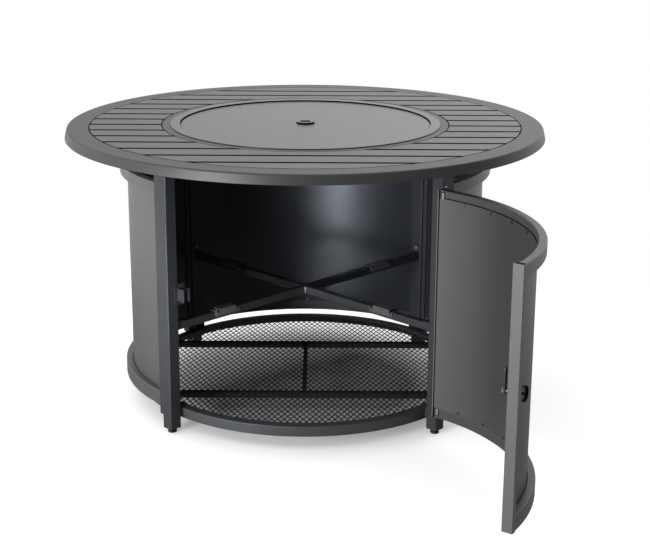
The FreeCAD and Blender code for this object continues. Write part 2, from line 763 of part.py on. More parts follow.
door_low = D.bottom_rail_low
door_high = top_rail_high
hang(tube_block(
    jamb_inner, wall_outer, door_start, door_side, door_low, door_high, D.jamb_wall
), "door_latch_stile")
hang(tube_block(
    door_start, door_side, jamb_inner, wall_outer, door_low, door_high, D.jamb_wall
), "door_hinge_stile")
hang(rolled_rail(top_rail_low, top_rail_high, door_side), "door_top_rail")
hang(rolled_rail(D.bottom_rail_low, bottom_rail_high, door_side), "door_bottom_rail")
door_skin = bay_arc(sheet_inner, rail_inner, door_side, sheet_low, sheet_high)
latch_bore = turn(
    group([lying_rod(
        D.barrel_radius + D.fit_gap, sheet_inner - D.barrel_length, rail_inner + D.bezel_depth, "x",
        0, D.latch_level,
    )]),
    D.latch_angle.number,
)
hang(cut(door_skin, latch_bore), "door_sheet")
hang(group(rail_screws()), "door_screws")

# Hinge: knuckles of the two leaves alternate on one pin, outside the gap beside the right post
knuckle_step = (door_high - door_low) / D.knuckle_count
leaf_start = hinge_radius - D.hinge_leaf_width
leaf_end = hinge_radius - D.knuckle_radius - D.fit_gap


def hinge_leaf(inner_side, outer_side, first):
    """A flat leaf and every second knuckle, in the front bay's frame."""
    pieces = [block(inner_side, outer_side, leaf_start, leaf_end, door_low, door_high)]
    for number in range(first, int(D.knuckle_count.number), 2):
        low = door_low + number * knuckle_step + D.knuckle_gap / 2
        high = low + knuckle_step - D.knuckle_gap
        pieces.append(rod(D.knuckle_radius, low, high, hinge_offset, hinge_radius))
        pieces.append(block(inner_side, outer_side, leaf_end - D.hinge_leaf, hinge_radius, low, high))
    bore = rod(D.pin_radius + D.pin_clearance, door_low, door_high, hinge_offset, hinge_radius)
    return cut(fuse(pieces), bore)


node(turn(hinge_leaf(half_post, half_post + D.hinge_leaf, 0), BAY_TURN["front"]), "hinge_post_leaf")
hang(hinge_leaf(door_start - D.hinge_leaf, door_start, 1), "hinge_door_leaf")
hinge_pin = group([
    rod(D.pin_radius, door_low - D.pin_end, door_high + D.pin_end, hinge_offset, hinge_radius)
])
node(turn(hinge_pin, BAY_TURN["front"]), "hinge_pin")

# Latch: housing in the door's sheet, a knob and shaft that turn, and a cam that hooks the keeper
bezel_back = rail_inner + D.fit_gap / 2
bezel_front = bezel_back + D.bezel_depth
recess_floor = bezel_back + D.bezel_floor


def on_latch(piece, name):
    """Turns a latch piece, made along X, to the latch's place and hangs it on the door."""
    turned = turn(group([piece]), D.latch_angle.number)
    return hang(group([turned]), name)


housing = fuse([
    lying_rod(D.bezel_radius, bezel_back, bezel_front, "x", 0, D.latch_level),
    lying_rod(D.barrel_radius, bezel_back - D.barrel_length, bezel_back, "x", 0, D.latch_level),
])
housing_hollow = fuse([
    lying_rod(D.knob_radius + D.fit_gap, recess_floor, bezel_front, "x", 0, D.latch_level),
    lying_rod(D.shaft_radius + D.fit_gap, bezel_back - D.barrel_length, bezel_front, "x", 0, D.latch_level),
])
on_latch(cut(housing, housing_hollow), "latch_housing")

nut_face = chord(sheet_inner, D.barrel_nut_radius)
on_latch(cut(
    lying_hexagon(D.barrel_nut_radius, nut_face - D.barrel_nut_height, nut_face, "x", 0, D.latch_level),
    lying_rod(D.barrel_radius, nut_face - D.barrel_nut_height, nut_face, "x", 0, D.latch_level),
), "latch_housing_nut")

shaft_end = cam_inner - D.cam_nut_height
disc_back = recess_floor + D.fit_gap
grip_half = D.latch_grip_length / 2
on_latch(fuse([
    lying_rod(D.knob_radius, disc_back, bezel_front, "x", 0, D.latch_level),
    lying_rod(D.shaft_radius, shaft_end, disc_back, "x", 0, D.latch_level),
    block(
        bezel_front, bezel_front + D.latch_grip_height, -D.latch_grip_width / 2, D.latch_grip_width / 2,
        D.latch_level - grip_half, D.latch_level + grip_half,
    ),
]), "latch_knob")

cam_half = D.cam_width / 2
cam_outline = fuse([
    lying_rod(cam_half, cam_inner, cam_inner + D.cam_sheet, "x", 0, D.latch_level),
    lying_rod(
        cam_half, cam_inner, cam_inner + D.cam_sheet, "x", 0, D.latch_level + D.cam_reach - cam_half
    ),
    block(
        cam_inner, cam_inner + D.cam_sheet, -cam_half, cam_half,
        D.latch_level, D.latch_level + D.cam_reach - cam_half,
    ),
])
on_latch(cut(
    cam_outline, lying_rod(D.shaft_radius, cam_inner, cam_inner + D.cam_sheet, "x", 0, D.latch_level)
), "latch_cam")
on_latch(cut(
    lying_hexagon(D.cam_nut_radius, shaft_end, cam_inner, "x", 0, D.latch_level),
    lying_rod(D.shaft_radius, shaft_end, cam_inner, "x", 0, D.latch_level),
), "latch_cam_nut")

# Keeper: a base plate on the left front post with two flanges
plate_face = half_post + D.keeper_plate
flange_tip = plate_face + D.keeper_reach
keeper_level = D.latch_level - D.keeper_drop
keeper_top = keeper_level + D.keeper_height
keeper_inner = cam_inner + D.cam_sheet + D.keeper_clearance
keeper_edge = keeper_inner + D.keeper_plate_width
outer_flange = keeper_inner + D.keeper_sheet + D.keeper_mouth
keeper = fuse([
    block(
        keeper_inner, keeper_edge, half_post, plate_face,
        keeper_level - D.keeper_ear, keeper_top + D.keeper_ear,
    ),
    block(
        keeper_inner, keeper_inner + D.keeper_sheet, half_post, flange_tip,
        keeper_level, keeper_top,
    ),
    block(
        outer_flange, outer_flange + D.keeper_sheet, half_post, flange_tip, keeper_level, keeper_top
    ),
])
node(turn(keeper, BAY_TURN["front"]), "latch_keeper")
screw_place = (outer_flange + D.keeper_sheet + keeper_edge) / 2
keeper_screws = [
    lying_hexagon(
        D.screw_radius, plate_face, plate_face + D.keeper_screw_head, "y", screw_place, level
    )
    for level in (keeper_level - D.keeper_ear / 2, keeper_top + D.keeper_ear / 2)
]
panel_screws.append(turn(group(keeper_screws), BAY_TURN["front"]))
node(group(panel_screws), "panel_screws")

# Burner pan and lid
node(revolved("pan", [
    (flange_outer, D.table_height),
    (flange_outer, flange_top),
    (flange_inner, flange_top),
    (flange_inner, ledge_level),
    (ledge_inner, ledge_level),
    (D.pan_floor_radius, pan_floor),
    (D.pan_hole_radius, pan_floor),
    (D.pan_hole_radius, pan_floor - D.pan_sheet),
    (D.pan_floor_radius + D.pan_sheet, pan_floor - D.pan_sheet),
    (ledge_inner + D.pan_sheet, ledge_level - D.pan_sheet),
    (flange_inner + D.pan_sheet, ledge_level - D.pan_sheet),
    (flange_inner + D.pan_sheet, D.table_height),
]), "burner_pan")

lid_disc = rod(flange_inner - D.lid_gap, lid_foot, lid_top)
node(cut(lid_disc, rod(D.grip_hole_radius, lid_foot, lid_top)), "lid_plate")
cup_foot = lid_foot - D.grip_cup_depth
node(revolved("cup", [
    (0, cup_foot),
    (D.grip_hole_radius - D.grip_cup_taper + D.grip_cup_sheet, cup_foot),
    (D.grip_hole_radius + D.grip_cup_sheet, lid_foot - D.grip_cup_sheet),
    (D.grip_hole_radius + D.grip_cup_lip, lid_foot - D.grip_cup_sheet),
    (D.grip_hole_radius + D.grip_cup_lip, lid_foot),
    (D.grip_hole_radius, lid_foot),
    (D.grip_hole_radius - D.grip_cup_taper, cup_foot + D.grip_cup_sheet),
    (0, cup_foot + D.grip_cup_sheet),
]), "lid_finger_cup")
bar = block(-far, far, -D.grip_bar_width / 2, D.grip_bar_width / 2, lid_foot, lid_top)
node(common(bar, rod(D.grip_hole_radius, lid_foot, lid_top)), "lid_grip_bar")

# Burner: a tube ring with a cross tube and a feed pipe, a collar on the pan, and the pilot
ring_tube = doc.addObject("Part::Torus", "ring_tube")
bind(ring_tube, Radius1=D.burner_radius, Radius2=D.burner_tube)
lift(ring_tube, 0, 0, burner_level)
node(fuse([
    ring_tube,
    lying_rod(D.burner_tube, -D.burner_radius, D.burner_radius, "x", 0, burner_level),
    rod(D.burner_tube, pan_floor - D.burner_feed_drop, burner_level),
    rod(D.collar_radius, pan_floor, pan_floor + D.collar_height),
]), "ring_burner")
pilot = fuse([
    block(
        D.pilot_radius, D.pilot_radius + D.pan_sheet, -D.pilot_width / 2, D.pilot_width / 2,
        pan_floor, pan_floor + D.pilot_height,
    ),
    block(
        D.pilot_radius, D.pilot_radius + D.pilot_width, -D.pilot_width / 2, D.pilot_width / 2,
        pan_floor, pan_floor + D.pan_sheet,
    ),
])
electrode_low = pan_floor + D.electrode_foot
electrode = rod(
    D.electrode_radius, electrode_low, electrode_low + D.electrode_length, D.pilot_radius - D.electrode_radius
)
node(group([pilot, electrode]), "pilot_electrode")

# Controls on a plate under the support ring, above the door
plate_back = -support_inner
plate_front = plate_back - D.control_sheet
plate_low = apron_foot - D.control_drop
knob_place = -D.control_spread / 2
button_place = D.control_spread / 2
plate = fuse([
    block(-D.control_width / 2, D.control_width / 2, plate_front, plate_back, plate_low, apron_foot),
    block(
        -D.control_width / 2, D.control_width / 2, plate_front - D.control_flange, plate_back,
        apron_foot - D.control_sheet, apron_foot,
    ),
])
plate_holes = group([
    lying_rod(D.bushing_radius + D.fit_gap, plate_front, plate_back, "y", knob_place, control_level),
    lying_rod(D.button_radius + D.fit_gap, plate_front, plate_back, "y", button_place, control_level),
])
node(cut(plate, plate_holes), "control_plate")

valve_start = plate_back
valve = fuse([
    block(
        knob_place - D.valve_width / 2, knob_place + D.valve_width / 2,
        valve_start, valve_start + D.valve_depth,
        control_level - D.valve_height / 2, control_level + D.valve_height / 2,
    ),
    lying_rod(D.bushing_radius, plate_front - D.bushing_nose, valve_start, "y", knob_place, control_level),
    lying_rod(
        D.stem_radius, plate_front - D.bushing_nose - D.stem_length, valve_start, "y",
        knob_place, control_level,
    ),
])
node(valve, "gas_valve")
inlet_start = valve_start + D.valve_depth
node(fuse([
    lying_hexagon(
        D.inlet_hex, inlet_start, inlet_start + D.inlet_hex_length, "y", knob_place, control_level
    ),
    lying_rod(
        D.inlet_radius, inlet_start + D.inlet_hex_length, inlet_start + D.inlet_hex_length + D.inlet_length,
        "y", knob_place, control_level,
    ),
]), "gas_inlet_fitting")

dial_back = plate_front - D.bushing_nose - D.fit_gap
dial_front = dial_back - D.dial_depth
dial = fuse([
    lying_rod(D.dial_radius, dial_back - D.dial_skirt, dial_back, "y", knob_place, control_level),
    block(
        knob_place - D.dial_grip_width / 2, knob_place + D.dial_grip_width / 2,
        dial_front, dial_back - D.dial_skirt,
        control_level - D.dial_grip_length / 2, control_level + D.dial_grip_length / 2,
    ),
])
dial_bore = lying_rod(
    D.stem_radius + D.fit_gap, dial_back - D.stem_length, dial_back, "y", knob_place, control_level
)
node(cut(dial, dial_bore), "control_knob")

button_back = plate_back + D.fit_gap + D.button_travel
node(group([
    lying_rod(
        D.button_radius, plate_front - D.button_nose, button_back, "y", button_place, control_level
    )
]), "igniter_button")
igniter_start = button_back + D.button_travel + D.fit_gap
igniter = cut(
    lying_rod(D.igniter_radius, plate_back, plate_back + D.igniter_length, "y", button_place, control_level),
    lying_rod(D.button_radius + D.fit_gap, plate_back, igniter_start, "y", button_place, control_level),
)
node(igniter, "igniter_body")

doc.recompute()

faults = [item.Name for item in doc.Objects if "Invalid" in item.State or "Error" in item.State]
for name, piece in nodes.items():
    if piece.Shape.isNull() or not piece.Shape.isValid() or not piece.Shape.Solids:
        faults.append(name)
if faults:
    raise RuntimeError("not built: " + ", ".join(faults))

os.makedirs("parts", exist_ok=True)
for name, piece in nodes.items():
    piece.Shape.exportStep(f"parts/{name}.step")
    box = piece.Shape.BoundBox
    print(
        f"{name}: {len(piece.Shape.Solids)} solids, x {box.XMin:.1f}..{box.XMax:.1f}, "
        f"y {box.YMin:.1f}..{box.YMax:.1f}, z {box.ZMin:.1f}..{box.ZMax:.1f}"
    )
print("nodes:", len(nodes))
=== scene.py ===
# %% [markdown]
# # Round fire pit table, dressed for its picture
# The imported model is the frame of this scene: every piece of sheet, tube and wire
# already has its place and its joint there. Here each visible piece gets the rounded
# edges, the mesh, the screws and the powder coat that the real one shows.

from math import asin, cos, pi, radians, sin, sqrt

import bmesh
import bpy
import numpy as np
from mathutils import Matrix, Vector


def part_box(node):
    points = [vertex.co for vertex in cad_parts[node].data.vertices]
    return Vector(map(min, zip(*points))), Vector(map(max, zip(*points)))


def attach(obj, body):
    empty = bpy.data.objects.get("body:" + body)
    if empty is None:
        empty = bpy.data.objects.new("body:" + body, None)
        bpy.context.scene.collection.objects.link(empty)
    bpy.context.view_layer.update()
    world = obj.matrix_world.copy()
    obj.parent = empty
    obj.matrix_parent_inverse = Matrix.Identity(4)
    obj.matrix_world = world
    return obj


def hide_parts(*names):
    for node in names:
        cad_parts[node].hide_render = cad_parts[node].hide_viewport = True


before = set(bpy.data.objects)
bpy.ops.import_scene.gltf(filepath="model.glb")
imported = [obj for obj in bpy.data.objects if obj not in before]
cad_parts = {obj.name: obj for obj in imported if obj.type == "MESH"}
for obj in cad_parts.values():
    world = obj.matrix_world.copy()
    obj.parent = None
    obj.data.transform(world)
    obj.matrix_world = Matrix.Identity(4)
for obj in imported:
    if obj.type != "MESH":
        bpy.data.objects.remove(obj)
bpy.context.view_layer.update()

# %% [markdown]
# ## Sizes
# Metal furniture is drawn in millimetres, so this script is too, and one factor turns
# every point into metres at the end. What the frame already knows, such as the height
# of the top, is read from the frame and not written again.

# %% Sizes
MM = 0.001


def frame_box(node):
    """The lowest and highest corner of a node of the frame, in millimetres."""
    low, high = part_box(node)
    return np.array(low) / MM, np.array(high) / MM


TOP = frame_box("top_slats")[1][2]
SLAT_FOOT = frame_box("top_slats")[0][2]
APRON_FOOT = frame_box("tabletop_rim")[0][2]
APRON_RADIUS = 609.6
SHOULDER_RADIUS = 604.0
FIELD_RADIUS = 549.7
TRIM_RADIUS = 365.2
SLAT_COUNT = 15
SLAT_PITCH = 74.3
SLAT_GAP = 8.4
POST_SIDE = 31.75
POST_OUTER = 477.0
WALL_RADIUS = 475.0
RAIL_INNER = 456.5
SHEET_WALL = 1.5
JAMB_WIDTH = 12.7
JAMB_DEPTH = 25.4
FIT = 0.3
AXIS = 0.01
DOOR_GAP = 3.1
DOOR_OPEN = 99.3
POST_TURNS = {"left_front": -135, "right_front": -45, "right_back": 45, "left_back": 135}
BAY_TURNS = {"left": 135, "back": 45, "right": -45}
FRONT_TURN = -135
print("top at", round(TOP, 1), "mm, apron's foot at", round(APRON_FOOT, 1), "mm")

# %% [markdown]
# ## Outlines with rounded corners
# Bent sheet and drawn tube never have knife edges. A small arc at each corner catches
# a thin line of light, and that line is most of what makes metal look real.

# %% Rounded outlines


def unit(vectors):
    """Each row divided by its own length."""
    return vectors / np.linalg.norm(vectors, axis=1, keepdims=True)


def rounded(corners, radius, steps=3):
    """A closed outline whose corners are arcs.

    An arc of radius r in a corner of half angle a starts r / tan(a) before the corner,
    and its centre lies r / sin(a) from the corner on the line that halves it. Between
    its two ends the arc's direction is turned at a steady rate.
    """
    corners = np.asarray(corners, float)
    radius = np.broadcast_to(np.asarray(radius, float), len(corners))
    back = unit(np.roll(corners, 1, 0) - corners)
    ahead = unit(np.roll(corners, -1, 0) - corners)
    half = np.arccos(np.clip((back * ahead).sum(1), -1, 1)) / 2
    centre = corners + unit(back + ahead) * (radius / np.sin(half))[:, None]
    first = corners + back * (radius / np.tan(half))[:, None] - centre
    last = corners + ahead * (radius / np.tan(half))[:, None] - centre
    sweep = (pi - 2 * half)[:, None, None]
    t = np.linspace(0, 1, steps + 1)[None, :, None]
    arc = (np.sin((1 - t) * sweep) * first[:, None] + np.sin(t * sweep) * last[:, None]) / np.sin(sweep)
    return (centre[:, None] + arc).reshape(-1, 2)


def box_outline(x_low, x_high, y_low, y_high, radius, steps=3):
    """A rounded rectangle."""
    corners = [(x_low, y_low), (x_high, y_low), (x_high, y_high), (x_low, y_high)]
    return rounded(corners, radius, steps)


def circle(radius, steps, x=0.0, y=0.0):
    """A round outline: each point is the centre plus the radius along its own angle."""
    angle = np.linspace(0, 2 * pi, steps, endpoint=False)
    return np.stack([x + radius * np.cos(angle), y + radius * np.sin(angle)], 1)


print("points on a rounded square:", len(box_outline(0, 1, 0, 1, 0.1)))

# %% [markdown]
# ## From points to a piece
# Every new piece is made from points and faces. Points that lie on each other are merged,
# the faces are turned outwards, and edges sharper than the crease angle stay crisp. A
# small bevel can break them, and weighted normals keep the flat faces flat.

# %% Pieces
CREASE = radians(38)
MERGE_REACH = 2e-6
BEVEL_STEPS = 3


def upright(normals, centres):
    """Faces whose normal is nearer to level than to straight up."""
    return np.abs(normals[:, 2]) < 0.5


def inward(normals, centres):
    """Faces that look towards the table's axis: their normal points against their own radius."""
    return (normals[:, :2] * centres[:, :2]).sum(1) < -0.5 * np.hypot(centres[:, 0], centres[:, 1])


def finish_mesh(
    name, points, faces, material, body, replaced=(), bevel=0.0, slot="powder_coat", sides=None,
    chosen=upright,
):
    """Puts points, in millimetres, and faces into a piece, and gives it a finish and a body to ride on.

    A second finish may be given for some of its faces, which are the upright ones unless
    the call says otherwise.
    """
    mesh = bpy.data.meshes.new(name)
    mesh.from_pydata((np.asarray(points) * MM).tolist(), [], faces)
    work = bmesh.new()
    work.from_mesh(mesh)
    bmesh.ops.remove_doubles(work, verts=work.verts, dist=MERGE_REACH)
    bmesh.ops.recalc_face_normals(work, faces=work.faces)
    work.to_mesh(mesh)
    work.free()
    mesh.shade_smooth()
    mesh.set_sharp_from_angle(angle=CREASE)
    piece = bpy.data.objects.new(name, mesh)
    bpy.context.scene.collection.objects.link(piece)
    mesh.materials.append(material)
    if sides:
        mesh.materials.append(sides)
        normals, centres = np.empty(len(mesh.polygons) * 3), np.empty(len(mesh.polygons) * 3)
        mesh.polygons.foreach_get("normal", normals)
        mesh.polygons.foreach_get("center", centres)
        second = chosen(normals.reshape(-1, 3), centres.reshape(-1, 3))
        mesh.polygons.foreach_set("material_index", second.astype(np.int32))
    if bevel:
        edge = piece.modifiers.new("edge", "BEVEL")
        edge.width = bevel * MM
        edge.segments = BEVEL_STEPS
        edge.limit_method = "ANGLE"
        edge.angle_limit = CREASE
        if sides:
            edge.material = 1
    flat = piece.modifiers.new("flat", "WEIGHTED_NORMAL")
    flat.keep_sharp = True
    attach(piece, body)
    if replaced:
        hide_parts(*replaced)
    return piece

print("crease angle:", round(CREASE, 3), "radians")

# %% [markdown]
# ## Skinning a grid of points
# Every new piece is a grid of points: one direction runs round its section and the
# other along its path. Numbering the four corners of each cell gives all the faces at
# once. Flat ends are closed with one face each.

# %% Skins


def skin_faces(along, around, first=0, path_closed=False):
    """Faces of a grid whose section is closed: cell (i, j) joins ring i to ring i + 1 between j and j + 1."""
    rings = np.arange(along if path_closed else along - 1)[:, None]
    spots = np.arange(around)[None, :]
    here, there = rings * around, ((rings + 1) % along) * around
    after = (spots + 1) % around
    cells = np.stack([here + spots, here + after, there + after, there + spots], -1)
    faces = (cells.reshape(-1, 4) + first).tolist()
    if not path_closed:
        faces.append((np.arange(around)[::-1] + first).tolist())
        faces.append((np.arange(around) + (along - 1) * around + first).tolist())
    return faces


def joined(grids, path_closed=False):
    """Points and faces of several grids, kept as separate shells of one mesh."""
    points, faces, first = [], [], 0
    for grid in grids:
        along, around = grid.shape[:2]
        points.append(grid.reshape(-1, 3))
        faces += skin_faces(along, around, first, path_closed)
        first += along * around
    return np.concatenate(points), faces


print("faces of a two by four grid:", len(skin_faces(2, 4)))

# %% [markdown]
# ## Grids for sheet, tube and bar
# Four kinds of grid make nearly all of the table: a profile turned round the axis, an
# outline lifted straight up, a section drawn out along X, and a section rolled round one
# quarter of the wall.

# %% Grids


def turned(points, angle):
    """Points turned about the table's axis: x' = x cos a - y sin a, y' = x sin a + y cos a."""
    a = radians(angle)
    x, y = points[..., 0], points[..., 1]
    return np.stack([x * cos(a) - y * sin(a), x * sin(a) + y * cos(a), points[..., 2]], -1)


def lathe_grid(profile, steps):
    """A profile of radii and heights carried round the axis: (r cos a, r sin a, z)."""
    angle = np.linspace(0, 2 * pi, steps, endpoint=False)[:, None]
    radius, level = profile[None, :, 0], profile[None, :, 1]
    return np.stack([radius * np.cos(angle), radius * np.sin(angle), level + 0 * angle], -1)


def prism_grid(outline, low, high):
    """An outline lifted straight up: the same ring at two heights."""
    levels = np.array([low, high])[:, None]
    x, y = outline[None, :, 0], outline[None, :, 1]
    return np.stack([x + 0 * levels, y + 0 * levels, levels + 0 * x], -1)


def bar_grid(section, start, end):
    """A bar along X: its section, given across and upwards, at both ends."""
    x = np.array([start, end])[:, None]
    across, level = section[None, :, 0], section[None, :, 1]
    return np.stack([x + 0 * across, across + 0 * x, level + 0 * x], -1)


def bay_grid(profile, offset, steps=48):
    """A section of radii and heights carried round one bay, in the bay's own quarter.

    Both ends are flat planes that lie a fixed offset from a post's centre plane, so a
    point of radius r starts at the angle asin(offset / r) and ends at 90 degrees less that.
    """
    radius, level = profile[None, :, 0], profile[None, :, 1]
    start = np.arcsin(offset / radius)
    t = np.linspace(0, 1, steps)[:, None]
    angle = start + t * (pi / 2 - 2 * start)
    return np.stack([radius * np.cos(angle), radius * np.sin(angle), level + 0 * angle], -1)


print("points of a rolled section:", bay_grid(circle(1, 8, 50), 10).shape[:2])

# %% [markdown]
# ## Small steps of a material
# A finish is worked out at each spot from where the spot lies on its piece. These helpers
# read a noise there, map it onto a range, and mix two colours with it.

# %% Shader steps


def add_node(tree, kind, **inputs):
    """A shader node with some of its inputs set by name."""
    made = tree.nodes.new(kind)
    for name, value in inputs.items():
        made.inputs[name.replace("_", " ")].default_value = value
    return made


def noise(tree, where, scale, detail):
    """A noise on Object coordinates; scale counts cells in a metre."""
    made = add_node(tree, "ShaderNodeTexNoise", Scale=scale, Detail=detail)
    tree.links.new(where, made.inputs["Vector"])
    return made.outputs["Fac"]


def spread(tree, value, low, high, from_low=0.3, from_high=0.7):
    """Maps a value onto a range. A noise stays mostly between 0.3 and 0.7."""
    made = add_node(tree, "ShaderNodeMapRange")
    made.inputs["From Min"].default_value = from_low
    made.inputs["From Max"].default_value = from_high
    made.inputs["To Min"].default_value = low
    made.inputs["To Max"].default_value = high
    tree.links.new(value, made.inputs["Value"])
    return made.outputs["Result"]


def tinted(tree, factor, dark, light):
    """Mixes two colours by a factor."""
    made = tree.nodes.new("ShaderNodeMix")
    made.data_type = "RGBA"
    made.inputs["A"].default_value = (*dark, 1)
    made.inputs["B"].default_value = (*light, 1)
    tree.links.new(factor, made.inputs["Factor"])
    return made.outputs["Result"]


def grey(value, blue=0.0):
    """A grey with a trace of blue in it."""
    return (value * (1 - blue / 2), value, value * (1 + blue))


def new_material(name):
    """A material with its node tree, its main shader and the Object coordinates."""
    made = bpy.data.materials.new(name)
    made.use_nodes = True
    tree = made.node_tree
    where = tree.nodes.new("ShaderNodeTexCoord").outputs["Object"]
    return made, tree, tree.nodes["Principled BSDF"], where

print("a bluish grey:", grey(0.5, 0.1))

# %% [markdown]
# ## Powder coat
# Powder coat is a thick satin paint baked onto metal. Up close it is faintly pebbled,
# like the skin of an orange, and it varies a little in tone and gloss from place to
# place. Three noises make it: a fine one for the pebbles, a broad one for the tone and
# one between them for the gloss. Two coats get evenly lighter along an axis instead:
# that is a painted reflection, where a soft reflection lies on the door's sheet and on the panels.

# %% Powder coat
GLOSS_DRIFT = 0.015


def powder_coat(
    name, colour, variation=0.1, roughness=0.45, pebble=0.12, gloss=0.5, sheen=(1.0, 1.0, 1.0), painted_reflection=None
):
    """Satin powder coat: a pebbled skin with a slow drift of tone and gloss.

    With painted_reflection, an axis and two places along it in metres, the tone rises
    evenly from the first to the second instead: a painted reflection.
    """
    made, tree, shader, where = new_material(name)
    broad = noise(tree, where, scale=7.0, detail=3.0)
    dark = tuple(channel * (1 - variation) for channel in colour)
    light = tuple(channel * (1 + variation) for channel in colour)
    drift = spread(tree, broad, 0.0, 1.0)
    if painted_reflection:
        axis, start, end = painted_reflection
        place = add_node(tree, "ShaderNodeSeparateXYZ")
        tree.links.new(where, place.inputs["Vector"])
        drift = spread(tree, place.outputs[axis], 0.0, 1.0, start, end)
    tree.links.new(tinted(tree, drift, dark, light), shader.inputs["Base Color"])
    fine = noise(tree, where, scale=900.0, detail=2.0)
    bump = add_node(tree, "ShaderNodeBump", Strength=pebble, Distance=0.0004)
    tree.links.new(fine, bump.inputs["Height"])
    tree.links.new(bump.outputs["Normal"], shader.inputs["Normal"])
    patches = noise(tree, where, scale=60.0, detail=4.0)
    gloss_drift = spread(tree, patches, roughness - GLOSS_DRIFT, roughness + GLOSS_DRIFT)
    tree.links.new(gloss_drift, shader.inputs["Roughness"])
    shader.inputs["Specular IOR Level"].default_value = gloss
    shader.inputs["Specular Tint"].default_value = (*sheen, 1)
    return made

print("gloss drifts by", GLOSS_DRIFT)

# %% [markdown]
# ## Bare metal
# Screws, welds and fittings are plated or bare. Rolling and wiping leave fine scratches,
# so a noise is stretched along X and changes the gloss in streaks.

# %% Bare metal
SCRATCH_DRIFT = 0.08
STREAK_STRETCH = 12.0


def bare_metal(name, colour, roughness=0.3, grain=0.1):
    """Plated or bare steel with fine scratches stretched along X."""
    made, tree, shader, where = new_material(name)
    stretch = add_node(tree, "ShaderNodeMapping")
    stretch.inputs["Scale"].default_value = (1.0, STREAK_STRETCH, STREAK_STRETCH)
    tree.links.new(where, stretch.inputs["Vector"])
    streaks = noise(tree, stretch.outputs["Vector"], scale=120.0, detail=3.0)
    shine = spread(tree, streaks, roughness - SCRATCH_DRIFT, roughness + SCRATCH_DRIFT)
    tree.links.new(shine, shader.inputs["Roughness"])
    bump = add_node(tree, "ShaderNodeBump", Strength=grain, Distance=0.0002)
    tree.links.new(streaks, bump.inputs["Height"])
    tree.links.new(bump.outputs["Normal"], shader.inputs["Normal"])
    tone = noise(tree, where, scale=25.0, detail=2.0)
    dark = tuple(channel * 0.85 for channel in colour)
    tree.links.new(tinted(tree, spread(tree, tone, 0.0, 1.0), dark, colour), shader.inputs["Base Color"])
    shader.inputs["Metallic"].default_value = 1.0
    return made

print("scratches drift by", SCRATCH_DRIFT)

# %% [markdown]
# ## The finishes of this table
# All the coated parts are one dark grey. Each kind of part has its own shade and gloss here,
# and the tones are painted light: they follow the angle each part stands at to the sky, so
# parts that catch the light are lighter copies of the coat and parts in shade darker ones.
# The inside is bluish and darker still, a painted shade, the mesh nearly black, and the
# small hardware is plated.

# %% Finishes
BLUISH = (0.8, 0.88, 1.0)
FINISH = {
    "slats": powder_coat("slat_coat", grey(0.05), variation=0.03, roughness=0.38),
    "rim": powder_coat("rim_coat", grey(0.03), variation=0.03, roughness=0.44),
    "lid": powder_coat("lid_coat", grey(0.04), variation=0.03, roughness=0.3),
    "frame": powder_coat("frame_coat", grey(0.027, 0.06), variation=0.06, roughness=0.52, sheen=BLUISH),
    "ring": powder_coat("ring_coat", grey(0.05, 0.06), variation=0.05, roughness=0.44, sheen=BLUISH),
    # The outside coat and the door's sheet grow lighter along an axis: a painted reflection.
    "outside": powder_coat("outside_coat_painted_reflection", grey(0.07), variation=0.12, roughness=0.42, painted_reflection=("Z", 0.3, 0.62)),
    "door": powder_coat("door_coat", grey(0.05), variation=0.04, roughness=0.42),
    "door_sheet": powder_coat(
        "sheet_coat_painted_reflection", grey(0.062), variation=0.33, roughness=0.42, painted_reflection=("Y", -0.54, -0.39)
    ),
    # a lighter copy of the door's coat: painted light on the latch stile's face, also used for a painted
    # highlight
    "stile": powder_coat("stile_coat_painted_light", grey(0.092), variation=0.04, roughness=0.45),
    # darker than the outside coat of the same sheets: painted shade inside the cabinet
    "inside": powder_coat("inside_coat_painted_shade", grey(0.021, 0.2), variation=0.06, roughness=0.36, sheen=BLUISH),
    "clip": powder_coat("clip_coat", grey(0.085, 0.06), variation=0.06, roughness=0.42),
    "keeper": powder_coat("keeper_coat", grey(0.03, 0.12), variation=0.06, roughness=0.4),
    # painted highlight for the hinge's light strip and glints, and the light coat of the corner plates
    "lip": powder_coat("painted_highlight_and_plate_coat", grey(0.2), variation=0.1, roughness=0.4),
    "mesh": powder_coat("mesh_coat", grey(0.012), variation=0.1, roughness=0.5),
    # painted shade: a near-black coat for faces in gaps, slots and recesses, and for pieces that stand for
    # shade
    "shade": powder_coat("painted_shade_coat", grey(0.004), variation=0.1, roughness=0.8, pebble=0.05, gloss=0.05),
    "black": powder_coat("black_moulding", grey(0.01), variation=0.2, roughness=0.35, pebble=0.08),
    "zinc": bare_metal("zinc_plate", grey(0.5)),
    "screws": bare_metal("dark_zinc_plate", grey(0.16), roughness=0.4),
    "bolts": powder_coat("dull_zinc_plate", (0.15, 0.14, 0.11), variation=0.2, roughness=0.35),
    "steel": bare_metal("stainless", grey(0.5), roughness=0.35),
    "brass": bare_metal("brass", (0.62, 0.42, 0.16), roughness=0.3),
}
print("finishes:", sorted(FINISH))

# %% [markdown]
# ## Tabletop rim
# The rim is one spun piece: a flat band that the slats run up to, a soft shoulder and an
# apron that slants out to the lower edge. A profile turned round the axis gives it in one
# go, and the arcs at its corners are what the light runs along.

